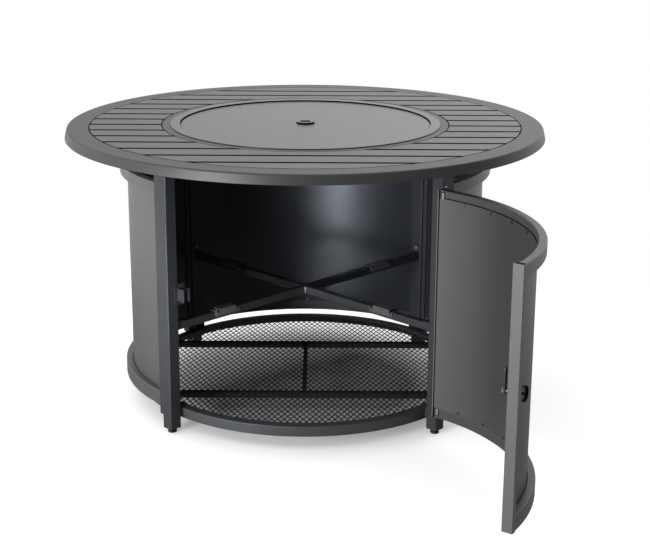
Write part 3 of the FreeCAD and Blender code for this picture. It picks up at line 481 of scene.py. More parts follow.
# %% Rim
RIM_SHEET = 2.5
rim_profile = rounded(
    [
        (FIELD_RADIUS, TOP),
        (SHOULDER_RADIUS, TOP),
        (APRON_RADIUS, APRON_FOOT),
        (APRON_RADIUS - RIM_SHEET, APRON_FOOT),
        (SHOULDER_RADIUS - RIM_SHEET, TOP - RIM_SHEET),
        (FIELD_RADIUS + RIM_SHEET, TOP - RIM_SHEET),
        (FIELD_RADIUS + RIM_SHEET, SLAT_FOOT),
        (FIELD_RADIUS, SLAT_FOOT),
    ],
    radius=[0.9, 4.5, 0.8, 0.8, 2.0, 1.0, 0.3, 0.3], steps=4,
)
ROUND_STEPS = 288
finish_mesh(
    "rim", *joined([lathe_grid(rim_profile, ROUND_STEPS)], path_closed=True), FINISH["rim"], "table",
    ["tabletop_rim"],
)
print("points round the rim's profile:", len(rim_profile))

# %% [markdown]
# ## Slats
# The slats are straight boards cut to two circles: the round field they fill and the
# opening for the burner. Each board's outline is found where the straight sides meet
# those circles, with arcs between. The two boards that only touch the opening keep one
# piece and get a curved bite.

# %% Slats
OUTER_CUT = FIELD_RADIUS - 0.5
INNER_CUT = TRIM_RADIUS + 0.4
BITE_STEPS = 40


def arc_points(radius, start_y, end_y, side, steps=14):
    """Points of a circle between two values of y, on one side of X: x = side sqrt(r r - y y)."""
    y = np.linspace(start_y, end_y, steps)
    y = np.clip(y, -radius, radius)
    return np.stack([side * np.sqrt(radius**2 - y**2), y], 1)


def slat_outlines(low, high):
    """One or two closed outlines of the board that lies between two values of y."""
    mirrored = low + high < 0
    if mirrored:
        low, high = -high, -low
    high = min(high, OUTER_CUT - 0.01)
    right = arc_points(OUTER_CUT, low, high, 1)
    left = arc_points(OUTER_CUT, high, low, -1)
    if low > INNER_CUT:
        outlines = [np.concatenate([right, left])]
    elif high > INNER_CUT:
        reach = asin(low / INNER_CUT)
        angle = np.linspace(pi - reach, reach, BITE_STEPS)
        bite = INNER_CUT * np.stack([np.cos(angle), np.sin(angle)], 1)
        outlines = [np.concatenate([right, left, bite])]
    else:
        inner = arc_points(INNER_CUT, high, low, 1)
        half = np.concatenate([right, inner])
        outlines = [half, half * (-1, 1)]
    if mirrored:
        outlines = [outline * (1, -1) for outline in outlines]
    return outlines


boards = []
for number in range(SLAT_COUNT):
    middle = (number - (SLAT_COUNT - 1) / 2) * SLAT_PITCH
    half = (SLAT_PITCH - SLAT_GAP) / 2
    boards += slat_outlines(middle - half, middle + half)
slat_points, slat_faces = joined([prism_grid(board, SLAT_FOOT, TOP) for board in boards])
# The boards' upright sides and the bevels of their edges get painted shade, which darkens the gaps between
# them.
finish_mesh(
    "slats", slat_points, slat_faces, FINISH["slats"], "table", ["top_slats"], bevel=3.0, slot="slat_coat",
    sides=FINISH["shade"],
)
print("boards:", len(boards))

# %% [markdown]
# ## Trim ring, burner pan and lid
# Round the opening lies a flat trim ring. The burner pan hangs in it by a flange that
# stands a little proud, and the lid sits inside that flange, a little lower, so that a
# dark line shows at the back where the eye looks down the step.

# %% Trim and pan
FLANGE_OUTER = 344.5
FLANGE_INNER = 320.0
FLANGE_TOP = frame_box("burner_pan")[1][2]
LEDGE = FLANGE_TOP - 4.8
TRIM_INNER, TRIM_SHEET, PAN_SHEET = 330.0, 2.5, 2.0
LEDGE_INNER, BOWL_RADIUS, FEED_HOLE = 306.0, 250.0, 30.0
PAN_FLOOR = frame_box("burner_pan")[0][2] + PAN_SHEET
trim_profile = rounded(
    [
        (TRIM_INNER, TOP), (TRIM_RADIUS, TOP), (TRIM_RADIUS, SLAT_FOOT),
        (TRIM_RADIUS - TRIM_SHEET, SLAT_FOOT), (TRIM_RADIUS - TRIM_SHEET, TOP - TRIM_SHEET),
        (TRIM_INNER, TOP - TRIM_SHEET),
    ],
    radius=[0.4, 1.1, 0.4, 0.4, 0.8, 0.4],
)
# The trim ring's upright faces get painted shade.
finish_mesh(
    "trim_ring", *joined([lathe_grid(trim_profile, ROUND_STEPS)], path_closed=True), FINISH["rim"], "table",
    ["opening_trim_ring"], sides=FINISH["shade"],
)
pan_profile = rounded(
    [
        (FLANGE_OUTER, TOP), (FLANGE_OUTER, FLANGE_TOP), (FLANGE_INNER, FLANGE_TOP), (FLANGE_INNER, LEDGE),
        (LEDGE_INNER, LEDGE), (BOWL_RADIUS, PAN_FLOOR), (FEED_HOLE, PAN_FLOOR),
        (FEED_HOLE, PAN_FLOOR - PAN_SHEET), (BOWL_RADIUS + PAN_SHEET, PAN_FLOOR - PAN_SHEET),
        (LEDGE_INNER + PAN_SHEET, LEDGE - PAN_SHEET), (FLANGE_INNER + PAN_SHEET, LEDGE - PAN_SHEET),
        (FLANGE_INNER + PAN_SHEET, TOP),
    ],
    radius=[0.8, 1.0, 1.0, 0.6, 1.5, 8.0, 0.6, 0.6, 9.0, 1.5, 0.6, 0.6],
)
# The pan's inner walls get painted shade, which deepens the dark line down the step behind the lid.
finish_mesh(
    "pan", *joined([lathe_grid(pan_profile, ROUND_STEPS)], path_closed=True), FINISH["lid"], "table",
    ["burner_pan"], sides=FINISH["shade"], chosen=inward,
)
print("flange top at", round(FLANGE_TOP, 1))

# %% [markdown]
# ## The lid
# The lid is a plain round plate that lies a little below the flange round it. Under its
# middle hangs a shallow cup for the fingers. Both are profiles turned round the axis.

# %% Lid
LID_DIP = 1.0
LID_TOP = frame_box("lid_plate")[1][2] - LID_DIP
LID_RADIUS = 317.3
LID_FOOT = frame_box("lid_plate")[0][2]
GRIP_RADIUS = 22.0
lid_profile = rounded(
    [(GRIP_RADIUS, LID_FOOT), (LID_RADIUS, LID_FOOT), (LID_RADIUS, LID_TOP), (GRIP_RADIUS, LID_TOP)],
    radius=[0.3, 0.3, 0.6, 0.6],
)
# The lid's upright edge takes the darker rim coat, a faint painted shade in the gap round it.
finish_mesh(
    "lid", *joined([lathe_grid(lid_profile, ROUND_STEPS)], path_closed=True), FINISH["lid"], "lid",
    ["lid_plate"], slot="slat_coat", sides=FINISH["rim"],
)
CUP_FOOT = frame_box("lid_finger_cup")[0][2]
CUP_WALL = 1.5
CUP_FLOOR, CUP_MOUTH, CUP_BRIM = 17.5, 23.5, 26.5
cup_profile = rounded(
    [
        (AXIS, CUP_FOOT), (CUP_FLOOR, CUP_FOOT), (CUP_MOUTH, LID_FOOT - CUP_WALL),
        (CUP_BRIM, LID_FOOT - CUP_WALL), (CUP_BRIM, LID_FOOT), (GRIP_RADIUS, LID_FOOT),
        (CUP_FLOOR - CUP_WALL, CUP_FOOT + CUP_WALL), (AXIS, CUP_FOOT + CUP_WALL),
    ],
    radius=[0.005, 2.5, 1.0, 0.5, 0.5, 1.0, 2.0, 0.005],
)
finish_mesh(
    "finger_cup", *joined([lathe_grid(cup_profile, 64)], path_closed=True), FINISH["lid"], "lid",
    ["lid_finger_cup"], slot="slat_coat",
)
print("lid radius", LID_RADIUS, "mm")

# %% [markdown]
# ## The lid's pull
# In the lid's middle stands a low round ring with a squared slot that the fingers reach
# through. Its section is not the same all round, so the grid runs through a list of rings:
# round ones up the outside, squared ones down the slot, and round ones under the plate.

# %% Lid pull


def squared(across, along, steps, power=5.0):
    """A rounded rectangle: |x / across| ^ power + |y / along| ^ power = 1, taken at even angles."""
    angle = np.linspace(0, 2 * pi, steps, endpoint=False)
    c, d = np.cos(angle), np.sin(angle)
    size = (np.abs(c) ** power + np.abs(d) ** power) ** (-1 / power)
    return np.stack([across * size * c, along * size * d], 1)


PULL_STEPS, PULL_PLAY = 64, 0.05
PULL_HEIGHT, PULL_RADIUS = 4.2, 23.4
SLOT_ACROSS, SLOT_ALONG = 13.0, 9.7
PULL_TOP = LID_TOP + PULL_HEIGHT
pull_rings = [
    (circle(PULL_RADIUS - inset, PULL_STEPS), PULL_TOP - drop)
    for inset, drop in ((0.0, PULL_HEIGHT), (0.0, 1.5), (0.3, 0.4), (0.8, 0.0))
]
pull_rings += [
    (squared(SLOT_ACROSS + wider, SLOT_ALONG + wider, PULL_STEPS), level)
    for wider, level in ((0.5, PULL_TOP), (0.1, PULL_TOP - 0.3), (0.0, PULL_TOP - 0.6), (0.0, LID_FOOT))
]
pull_rings += [(circle(GRIP_RADIUS - PULL_PLAY, PULL_STEPS), level) for level in (LID_FOOT, LID_TOP)]
pull_grid = np.stack([np.column_stack([ring, np.full(PULL_STEPS, level)]) for ring, level in pull_rings])
# The pull's upright faces, the slot's walls and its outer wall, get painted shade, so the slot reads dark.
finish_mesh(
    "lid_pull", *joined([pull_grid.transpose(1, 0, 2)], path_closed=True), FINISH["lid"], "lid",
    ["lid_grip_bar"], slot="slat_coat", sides=FINISH["shade"],
)
print("pull stands", round(PULL_TOP - LID_TOP, 1), "mm above the lid")

# %% [markdown]
# ## Posts and levelling feet
# The posts are square tube stood on the diagonals. A drawn tube has an outside corner
# radius of about its wall, which shows as a soft line down each edge.

# %% Posts and feet
POST_FOOT = frame_box("post_left_front")[0][2]
half_post = POST_SIDE / 2
post_outline = box_outline(POST_OUTER - POST_SIDE, POST_OUTER, -half_post, half_post, radius=2.6, steps=4)
PAD_RADIUS, PAD_HEIGHT = 11.0, 5.0
NECK_RADIUS, NECK_HEIGHT = 6.0, 8.5
STUD_RADIUS, STUD_TOP = 4.0, 42.0
foot_profile = rounded(
    [
        (AXIS, 0), (PAD_RADIUS, 0), (PAD_RADIUS, PAD_HEIGHT), (NECK_RADIUS, NECK_HEIGHT),
        (STUD_RADIUS, NECK_HEIGHT), (STUD_RADIUS, STUD_TOP), (AXIS, STUD_TOP),
    ],
    radius=[0.004, 1.2, 1.6, 1.0, 0.4, 0.8, 0.004],
)
post_centre = POST_OUTER - half_post
for corner, angle in POST_TURNS.items():
    grid = turned(prism_grid(post_outline, POST_FOOT, APRON_FOOT), angle)
    finish_mesh(f"post_{corner}_coated", *joined([grid]), FINISH["frame"], "table", [f"post_{corner}"])
    foot_place = (post_centre * cos(radians(angle)), post_centre * sin(radians(angle)), 0)
    foot = lathe_grid(foot_profile, 40) + foot_place
    finish_mesh(
        f"foot_{corner}_moulded", *joined([foot], path_closed=True), FINISH["black"], f"foot_{corner}",
        [f"levelling_foot_{corner}"], slot="black_plastic",
    )
print("posts stand at", round(POST_FOOT, 1), "mm")

# %% [markdown]
# ## Curved panels
# Each fixed bay is closed by a curved sheet between two rolled tubes, with an upright bar
# beside each post. A rolled tube is a rounded rectangle carried round the axis, and its
# ends are cut square to the bars.

# %% Panels
rail_bottom_low, rail_bottom_high = 66.0, 103.0
rail_top_low, rail_top_high = 604.5, 634.0
sheet_low, sheet_high = 93.0, 614.5
JAMB_FOOT = 45.0
jamb_start = half_post + FIT
panel_side = jamb_start + JAMB_WIDTH
jamb_outline = box_outline(WALL_RADIUS - JAMB_DEPTH, WALL_RADIUS, jamb_start, panel_side, radius=1.3)


def rail_profile(low, high):
    """The rolled tube's section: a rounded rectangle of radii and heights."""
    return box_outline(RAIL_INNER, WALL_RADIUS, low, high, radius=2.8, steps=4)


def sheet_profile():
    """The curved sheet's section."""
    return box_outline(RAIL_INNER - SHEET_WALL, RAIL_INNER, sheet_low, sheet_high, radius=0.4, steps=2)


jambs = []
rail_levels = ((rail_top_low, rail_top_high, "top"), (rail_bottom_low, rail_bottom_high, "bottom"))
for bay, angle in BAY_TURNS.items():
    for low, high, word in rail_levels:
        grid = turned(bay_grid(rail_profile(low, high), panel_side), angle)
        finish_mesh(
            f"{word}_rail_{bay}_rolled", *joined([grid]), FINISH["outside"], "table", [f"{word}_rail_{bay}"]
        )
    grid = turned(bay_grid(sheet_profile(), panel_side), angle)
    # The sheet's inner faces get the inside coat, a painted shade.
    finish_mesh(
        f"sheet_{bay}_rolled", *joined([grid]), FINISH["outside"], "table", [f"panel_sheet_{bay}"],
        slot="inner_coat", sides=FINISH["inside"], chosen=inward,
    )
    bar = prism_grid(jamb_outline, JAMB_FOOT, APRON_FOOT)
    jambs += [turned(bar, angle), turned(bar[..., [1, 0, 2]], angle)]
finish_mesh("jambs", *joined(jambs), FINISH["frame"], "table", ["jamb_bars"])
print("bars beside posts:", len(jambs))

# %% [markdown]
# ## Floor
# The floor is expanded metal: a sheet that is slit and pulled until the slits open into
# diamonds. It rests on three bars inside a rolled angle ring, which has a tab to each post.

# %% Floor ring and bars
FLOOR_LEVEL = frame_box("floor_ring")[1][2]
RING_RADIUS, RING_FLANGE, RING_SHEET = 437.0, 411.0, 2.5
RING_TAB_HALF, RING_TAB_DEPTH = 10.0, 20.6
MESH_LOW, MESH_HIGH = frame_box("floor_mesh")[0][2], frame_box("floor_mesh")[1][2]
ring_foot = frame_box("floor_ring")[0][2]
ring_profile = rounded(
    [
        (RING_FLANGE, FLOOR_LEVEL), (RING_RADIUS, FLOOR_LEVEL), (RING_RADIUS, ring_foot),
        (RING_RADIUS - RING_SHEET, ring_foot), (RING_RADIUS - RING_SHEET, MESH_HIGH),
        (RING_FLANGE, MESH_HIGH),
    ],
    radius=[0.5, 2.2, 0.5, 0.5, 0.8, 0.5],
)
ring_points, ring_faces = joined([lathe_grid(ring_profile, ROUND_STEPS)], path_closed=True)
tab_outline = box_outline(RING_RADIUS - 1, POST_OUTER - POST_SIDE, -RING_TAB_HALF, RING_TAB_HALF, radius=0.4)
tab = prism_grid(tab_outline, FLOOR_LEVEL - RING_TAB_DEPTH, FLOOR_LEVEL)
tab_points, tab_faces = joined([turned(tab, angle) for angle in POST_TURNS.values()])
shift = len(ring_points)
tab_faces = [[corner + shift for corner in face] for face in tab_faces]
finish_mesh(
    "floor_ring_rolled", np.concatenate([ring_points, tab_points]), ring_faces + tab_faces,
    FINISH["ring"], "table", ["floor_ring"],
)
BAR, CENTRE_BAR = 16.0, 11.5
BAR_PLACE, BAR_EDGE = 192.0, 434.0


def bar_section(middle, width):
    """A bar's section under the mesh, as deep as the side bars are wide."""
    return box_outline(middle - width / 2, middle + width / 2, MESH_LOW - BAR, MESH_LOW, radius=1.4)


reach = sqrt(BAR_EDGE**2 - (BAR_PLACE + BAR / 2) ** 2)
bars = [bar_grid(bar_section(middle, BAR), -reach, reach) for middle in (-BAR_PLACE, BAR_PLACE)]
centre_reach = BAR_PLACE - BAR / 2
bars.append(bar_grid(bar_section(0.0, CENTRE_BAR), -centre_reach, centre_reach)[..., [1, 0, 2]])
finish_mesh("floor_bars", *joined(bars), FINISH["frame"], "table", ["floor_crossbars"])
print("bars under the mesh:", len(bars))

# %% [markdown]
# ## Expanded mesh
# The floor is a sheet of flattened strands that cross in diamonds. Each diamond is built
# as four strands round a hole. Whole diamonds are laid out in rows, and their points that
# would pass the ring are pushed in to it.

# %% Mesh
CELL_ACROSS, CELL_ALONG = 15.5, 33.0
COLUMN_REACH, ROW_REACH = 30, 28
STRAND, STRAND_SLANT = 2.7, 1.15
STRAND_HALF, BOND_LIFT = 0.56, 0.55
MESH_EDGE = 433.5


def mesh_cells():
    """Centres of the diamonds: rows half a cell apart, every second row shifted by half a cell."""
    columns = np.arange(-COLUMN_REACH, COLUMN_REACH + 1)
    rows = np.arange(-ROW_REACH, ROW_REACH + 1)
    row, column = np.meshgrid(rows, columns, indexing="ij")
    centre = np.stack([(column + (row % 2) / 2) * CELL_ACROSS, row * CELL_ALONG / 2], -1).reshape(-1, 2)
    return centre[np.hypot(centre[:, 0], centre[:, 1]) < MESH_EDGE - 2]


def mesh_surface(centres):
    """Four strands round each hole.

    A cell's outer diamond has half the pitch as its reach, and its hole is the same
    diamond less the strand. The bonds at the left and right corners lie high and those at
    the front and back lie low, as pulled metal does.
    """
    corners = np.array([(1.0, 0.0), (0.0, 1.0), (-1.0, 0.0), (0.0, -1.0)])
    outer = corners * (CELL_ACROSS / 2, CELL_ALONG / 2)
    inner = outer * (1 - STRAND / CELL_ACROSS * STRAND_SLANT)
    lift = BOND_LIFT * np.array([1, -1, 1, -1])
    flat = np.concatenate([outer, inner, inner, outer])
    middle = (MESH_LOW + MESH_HIGH) / 2
    half = (MESH_HIGH - MESH_LOW) / 2 - STRAND_HALF
    upper = middle + half + lift
    lower = middle - half + lift
    level = np.concatenate([upper, upper, lower, lower])
    points = np.concatenate([
        centres[:, None] + flat[None], np.broadcast_to(level[None, :, None], (len(centres), 16, 1))
    ], -1)
    reach = np.hypot(points[..., 0], points[..., 1])
    points[..., :2] *= np.minimum(1, MESH_EDGE / reach)[..., None]
    around = np.arange(4)
    after = (around + 1) % 4
    rings = [(0, 4), (4, 8), (8, 12)]
    cells = [np.stack([a + around, a + after, b + after, b + around], -1) for a, b in rings]
    faces = np.concatenate(cells)[None] + 16 * np.arange(len(centres))[:, None, None]
    return points.reshape(-1, 3), faces.reshape(-1, 4).tolist()


centres = mesh_cells()
finish_mesh(
    "floor_mesh_fine", *mesh_surface(centres), FINISH["mesh"], "table", ["floor_mesh"], slot="mesh_coat"
)
print("diamonds:", len(centres))

# %% [markdown]
# ## Brace
# Two lengths of square tube cross inside the cabinet and end in brackets on the posts.

# %% Brace
BRACE_LOW, BRACE_HIGH = frame_box("brace_long_arm")[0][2], frame_box("brace_long_arm")[1][2]
BRACE = BRACE_HIGH - BRACE_LOW
ARM_END = POST_OUTER - POST_SIDE - 3


def arm_grid(start, end):
    """Square tube along X: the same rounded square at both ends."""
    outline = box_outline(-BRACE / 2, BRACE / 2, BRACE_LOW, BRACE_HIGH, radius=1.8, steps=4)
    return bar_grid(outline, start, end)


finish_mesh(
    "long_arm", *joined([turned(arm_grid(-ARM_END, ARM_END), 45)]), FINISH["frame"], "table",
    ["brace_long_arm"],
)
halves = [turned(arm_grid(BRACE / 2, ARM_END), angle) for angle in (-45, 135)]
finish_mesh("half_arms", *joined(halves), FINISH["frame"], "table", ["brace_half_arms"])
print("brace between", round(BRACE_LOW), "and", round(BRACE_HIGH))

# %% [markdown]
# ## Brackets and bolts
# Each arm ends in a folded bracket: a tab stands up against the post, with its bolt, and
# a lip lies on the arm. Small heads are a profile turned round its own axis and then laid
# where it points.

# %% Brackets and bolts
POST_INNER = POST_OUTER - POST_SIDE
TAB_TOP = frame_box("brace_end_brackets")[1][2]
TAB_HALF, TAB_CORNER = 10.0, 8.5
LIP_REACH, LIP_HALF, LIP_WALL = 22.0, 9.5, 3.0
BOLT_LEVEL = (TAB_TOP + BRACE_HIGH + LIP_WALL) / 2
BOLT_RADIUS, BOLT_HEIGHT = 6.8, 4.5
HEAD_SINK, HEAD_SIDE, HEAD_CROWN = 0.4, 0.45, 0.62


def head_grid(place, towards, radius, height, steps=20):
    """A button head: a small domed profile turned round the direction it points in.

    Its points are place + r cos(a) u + r sin(a) v + h n, with u and v at right angles to n.
    """
    profile = rounded(
        [
            (AXIS, -HEAD_SINK), (radius, -HEAD_SINK), (radius, height * HEAD_SIDE),
            (radius * HEAD_CROWN, height), (AXIS, height),
        ],
        radius=[0.004, 0.1, height * 0.2, height * 0.3, 0.004], steps=2,
    )
    n = np.asarray(towards, float) / np.linalg.norm(towards)
    u = np.cross(n, (0, 0, 1) if abs(n[2]) < 0.9 else (1, 0, 0))
    u /= np.linalg.norm(u)
    v = np.cross(n, u)
    local = lathe_grid(profile, steps)
    return np.asarray(place) + local[..., :1] * u + local[..., 1:2] * v + local[..., 2:] * n


tab_outline = rounded(
    [(-TAB_HALF, BRACE_LOW), (TAB_HALF, BRACE_LOW), (TAB_HALF, TAB_TOP), (-TAB_HALF, TAB_TOP)],
    radius=[1.0, 1.0, TAB_CORNER, TAB_CORNER], steps=5,
)
tab = prism_grid(tab_outline, ARM_END, POST_INNER)[..., [2, 0, 1]]
lip_outline = box_outline(ARM_END - LIP_REACH, POST_INNER, -LIP_HALF, LIP_HALF, radius=1.0)
lip = prism_grid(lip_outline, BRACE_HIGH, BRACE_HIGH + LIP_WALL)
around = list(POST_TURNS.values())
finish_mesh(
    "brackets", *joined([turned(piece, angle) for angle in around for piece in (tab, lip)]), FINISH["frame"],
    "table", ["brace_end_brackets"], bevel=0.5,
)
bolt = head_grid((ARM_END, 0, BOLT_LEVEL), (-1, 0, 0), BOLT_RADIUS, BOLT_HEIGHT)
finish_mesh(
    "bolt_heads", *joined([turned(bolt, angle) for angle in around], path_closed=True), FINISH["bolts"],
    "table", ["brace_bolts"], slot="zinc",
)
print("tab bolt at", round(BOLT_LEVEL), "mm")

# %% [markdown]
# ## Saddle clips
# The frame has the clips that grip the arms. What is added here is small: a raised pad
# between two slots, whose dark openings are blocks of painted shade, and screws in the
# clip's sides and beside the bracket.

# %% Saddle clips
SCREW = {"radius": 2.4, "height": 1.4, "steps": 12}
LIP_SCREW, SIDE_SCREW = 357.0, BRACE_HIGH - 4.5
CLIP_RADIUS, CLIP_SLOTS, CLIP_SIDE = 283.0, 65.0, BRACE / 2 + 2.4
CLIP_TOP = BRACE_HIGH + 3.1
SLOT_HALF, SLOT_DEPTH, SLOT_PROUD = 3.6, 10.1, 0.4
PAD_LOW, PAD_HIGH, PAD_GAP = BRACE_HIGH + 1.0, BRACE_HIGH + 5.5, 4.0
small = [
    head_grid((CLIP_RADIUS + end * CLIP_SLOTS / 2, side * CLIP_SIDE, SIDE_SCREW), (0, side, 0), **SCREW)
    for end in (-1, 1) for side in (-1, 1)
]
small.append(head_grid((LIP_SCREW, 0, BRACE_HIGH), (0, 0, 1), **SCREW))
finish_mesh(
    "clip_screws", *joined([turned(piece, angle) for angle in around for piece in small], path_closed=True),
    FINISH["zinc"], "table", slot="zinc",
)
# The slots' dark openings are blocks of painted shade that stand a little proud.
clip_slot_shade = []
for end in (-1, 1):
    middle = CLIP_RADIUS + end * CLIP_SLOTS / 2
    side = CLIP_SIDE + SLOT_PROUD
    outline = box_outline(middle - SLOT_HALF, middle + SLOT_HALF, -side, side, radius=0.4)
    clip_slot_shade.append(prism_grid(outline, CLIP_TOP - SLOT_DEPTH, CLIP_TOP))
finish_mesh(
    "clip_slot_shade", *joined([turned(piece, angle) for angle in around for piece in clip_slot_shade]),
    FINISH["shade"], "table",
)
pad_half = CLIP_SLOTS / 2 - PAD_GAP
pad_outline = box_outline(CLIP_RADIUS - pad_half, CLIP_RADIUS + pad_half, -CLIP_SIDE, CLIP_SIDE, radius=1.0)
clip_pad = prism_grid(pad_outline, PAD_LOW, PAD_HIGH)
finish_mesh(
    "clip_pads", *joined([turned(clip_pad, angle) for angle in around]), FINISH["clip"], "table", bevel=0.8
)
print("screws on one arm:", len(small))

# %% [markdown]
# ## Welds
# Where the arms cross, a bead of weld fills the four inner corners. It is a short round
# bar with soft ends.

# %% Welds
BEAD_RADIUS, BEAD_INSET = 2.2, 1.0
bead_low, bead_high = BRACE_LOW + BEAD_INSET, BRACE_HIGH - BEAD_INSET
bead_profile = rounded(
    [(AXIS, bead_low), (BEAD_RADIUS, bead_low), (BEAD_RADIUS, bead_high), (AXIS, bead_high)],
    radius=[0.004, 1.2, 1.2, 0.004],
)
bead = lathe_grid(bead_profile, steps=16)
corner = BRACE / 2 * sqrt(2)
beads = [bead + place for place in ((0, -corner, 0), (0, corner, 0), (corner, 0, 0), (-corner, 0, 0))]
finish_mesh("crossing_welds", *joined(beads, path_closed=True), FINISH["zinc"], "table", slot="zinc")
print("weld beads:", len(beads))

# %% [markdown]
# ## Door
# The door repeats a bay: two stiles, two rolled rails and a sheet. It is worked out in
# the closed place, where it is a plain quarter of the wall, and then swung about the
# hinge pin, as the real one is.

# %% Door
SHADE_STRIP = 3.4
SHEET_FACE = RAIL_INNER - SHEET_WALL
hinge_offset = half_post + DOOR_GAP / 2
hinge_radius = 489.7
door_start = half_post + DOOR_GAP
door_side = door_start + JAMB_WIDTH


def hung(points):
    """Points of the closed door turned about the hinge pin to where it stands open."""
    pin = np.array([hinge_offset, hinge_radius, 0.0])
    closed_pin = turned(pin, FRONT_TURN)
    return turned(points - pin, FRONT_TURN + DOOR_OPEN) + closed_pin


def stile_grid(inner):
    """A square-cut upright bar of the door, from a given radius out to the wall."""
    outline = box_outline(inner, WALL_RADIUS, door_start, door_side, radius=1.3)
    return prism_grid(outline, rail_bottom_low, rail_top_high)


# The latch stile gets the lighter stile coat, painted light where it catches the light from the left.
finish_mesh(
    "latch_stile", *joined([hung(stile_grid(WALL_RADIUS - JAMB_DEPTH))]), FINISH["stile"], "door",
    ["door_latch_stile"],
)
hinge_stile = stile_grid(RAIL_INNER)[..., [1, 0, 2]]
finish_mesh("hinge_stile", *joined([hung(hinge_stile)]), FINISH["door"], "door", ["door_hinge_stile"])
for low, high, word in ((rail_top_low, rail_top_high, "top"), (rail_bottom_low, rail_bottom_high, "bottom")):
    grid = hung(bay_grid(rail_profile(low, high), door_side))
    finish_mesh(f"door_{word}_rolled", *joined([grid]), FINISH["door"], "door", [f"door_{word}_rail"])
sheet = hung(bay_grid(sheet_profile(), door_start + SHADE_STRIP))
finish_mesh("door_sheet_rolled", *joined([sheet]), FINISH["door_sheet"], "door", ["door_sheet"])
print("door leaf hangs at radius", hinge_radius)

# %% [markdown]
# ## Painted shade on the door
# The sheet lies on the rails. A thin dark strip along its upper edge is a painted shadow on the
# top rail, and its lower edge shows as a thin light line, a painted highlight. A dark strip
# down beside the hinge is painted shade in the gap there, a dark cap on the latch stile's top
# is painted shade in its open tube, and dark patches of painted shade lie behind the corner plates.

# %% Door painted shade
PROUD = 0.3
STILE_WALL = 2.0
HIGHLIGHT_END = door_start - 0.5
SHADE_PATCH_HEIGHT = 20.0
SHADE_PATCH_LEVELS = (rail_top_high - 23, rail_bottom_low + 7)


def sheet_edge(low, height):
    """A thin strip along the inner face of the door's sheet."""
    section = box_outline(SHEET_FACE - PROUD, RAIL_INNER, low, low + height, radius=0.2, steps=2)
    return hung(bay_grid(section, door_side))


def hinge_strip(start, end, inner, outer, low, high, radius):
    """An upright strip between two offsets from the hinge's post, two radii and two heights."""
    return hung(prism_grid(box_outline(start, end, inner, outer, radius), low, high))


stile_top_shade = box_outline(
    WALL_RADIUS - JAMB_DEPTH + STILE_WALL, WALL_RADIUS - STILE_WALL,
    door_start + STILE_WALL, door_side - STILE_WALL, radius=0.8,
)
# Painted shade: a painted shadow under the sheet's top edge, a dark cap for the stile's open top and a dark
# strip in the hinge's gap.
dark = [
    sheet_edge(sheet_high + 0.2, height=2.0),
    hung(prism_grid(stile_top_shade, rail_top_high - 0.2, rail_top_high + 0.4)),
    hinge_strip(
        HIGHLIGHT_END, door_start + SHADE_STRIP, SHEET_FACE - PROUD, RAIL_INNER + 2,
        low=rail_bottom_low + 0.5, high=rail_top_high - 0.5, radius=0.2,
    ),
]
# Patches of painted shade behind the corner plates.
dark += [
    hinge_strip(
        door_start + 7, door_side + 4.5, SHEET_FACE - 0.7, SHEET_FACE + 0.2,
        low=level, high=level + SHADE_PATCH_HEIGHT, radius=0.3,
    )
    for level in SHADE_PATCH_LEVELS
]
finish_mesh("door_painted_shade", *joined(dark), FINISH["shade"], "door")
print("dark pieces on the door:", len(dark))

# %% [markdown]
# ## Painted highlights on the door
# Beside the dark strip at the hinge a thin light strip is a painted highlight, with two
# bright marks on it that are painted glints of screw heads. A small plate stands in each
# of the two patches of painted shade.

# %% Door edges
HIGHLIGHT_WIDTH = 1.6
GLINT_LEVELS, GLINT_HALF = (297.5, 437.0), 2.4
PLATE_INSET = 2.0
# The light strip is a painted highlight, and the two short pieces are painted glints.
lip = [hinge_strip(
    HIGHLIGHT_END - HIGHLIGHT_WIDTH, HIGHLIGHT_END, SHEET_FACE - 0.6, RAIL_INNER + 5,
    low=rail_bottom_low + 1, high=rail_top_high - 1, radius=0.3,
)]
lip += [
    hinge_strip(
        door_start - 1.9, door_start + 2.6, RAIL_INNER - 1.6, RAIL_INNER + 1,
        low=level - GLINT_HALF, high=level + GLINT_HALF, radius=0.4,
    )
    for level in GLINT_LEVELS
]
finish_mesh("hinge_painted_highlight", *joined(lip), FINISH["lip"], "door", bevel=0.2)
plates = [
    hinge_strip(
        door_start + 9, door_side + 2.5, SHEET_FACE - 1.6, SHEET_FACE + 0.2,
        low=level + PLATE_INSET, high=level + SHADE_PATCH_HEIGHT - PLATE_INSET, radius=0.5,
    )
    for level in SHADE_PATCH_LEVELS
]
finish_mesh("corner_plates", *joined(plates), FINISH["lip"], "door", bevel=0.3)
# A painted highlight under the sheet's lower edge, in the stile's lighter coat.
lower_highlight_strip = sheet_edge(sheet_low - 2.0, height=1.5)
finish_mesh("lower_painted_highlight", *joined([lower_highlight_strip]), FINISH["stile"], "door", bevel=0.1)
print("corner plates:", len(plates))

# %% [markdown]
# ## Latch knob
# The knob is a shallow dish that sits in a round bezel, with a finger bar across it and a
# dark arc round its far side, both turned a little from level. The bar is the knob's own
# black grip; the arc is painted shade in the bezel's recess. It is made along X, where
# the closed door's latch is, and then hung with the door. Its shaft comes out inside.

# %% Latch knob
LATCH_ANGLE, LATCH_LEVEL = 10.2, 347.0
BEZEL_FRONT = 461.6
SHAFT_RADIUS, SHAFT_END = 4.0, 416.5
DISH_RADIUS, DISH_DEPTH = 14.4, 3.0
ARC_RADIUS, ARC_WALL, ARC_REACH = 16.8, 4.8, 112
BAR_TIP, BAR_ROOT = (-19.0, 2.6), (13.0, 2.8)
GRIP_HEIGHT, BAR_HEIGHT = 5.0, 2.4
GRIP_TURN = -21


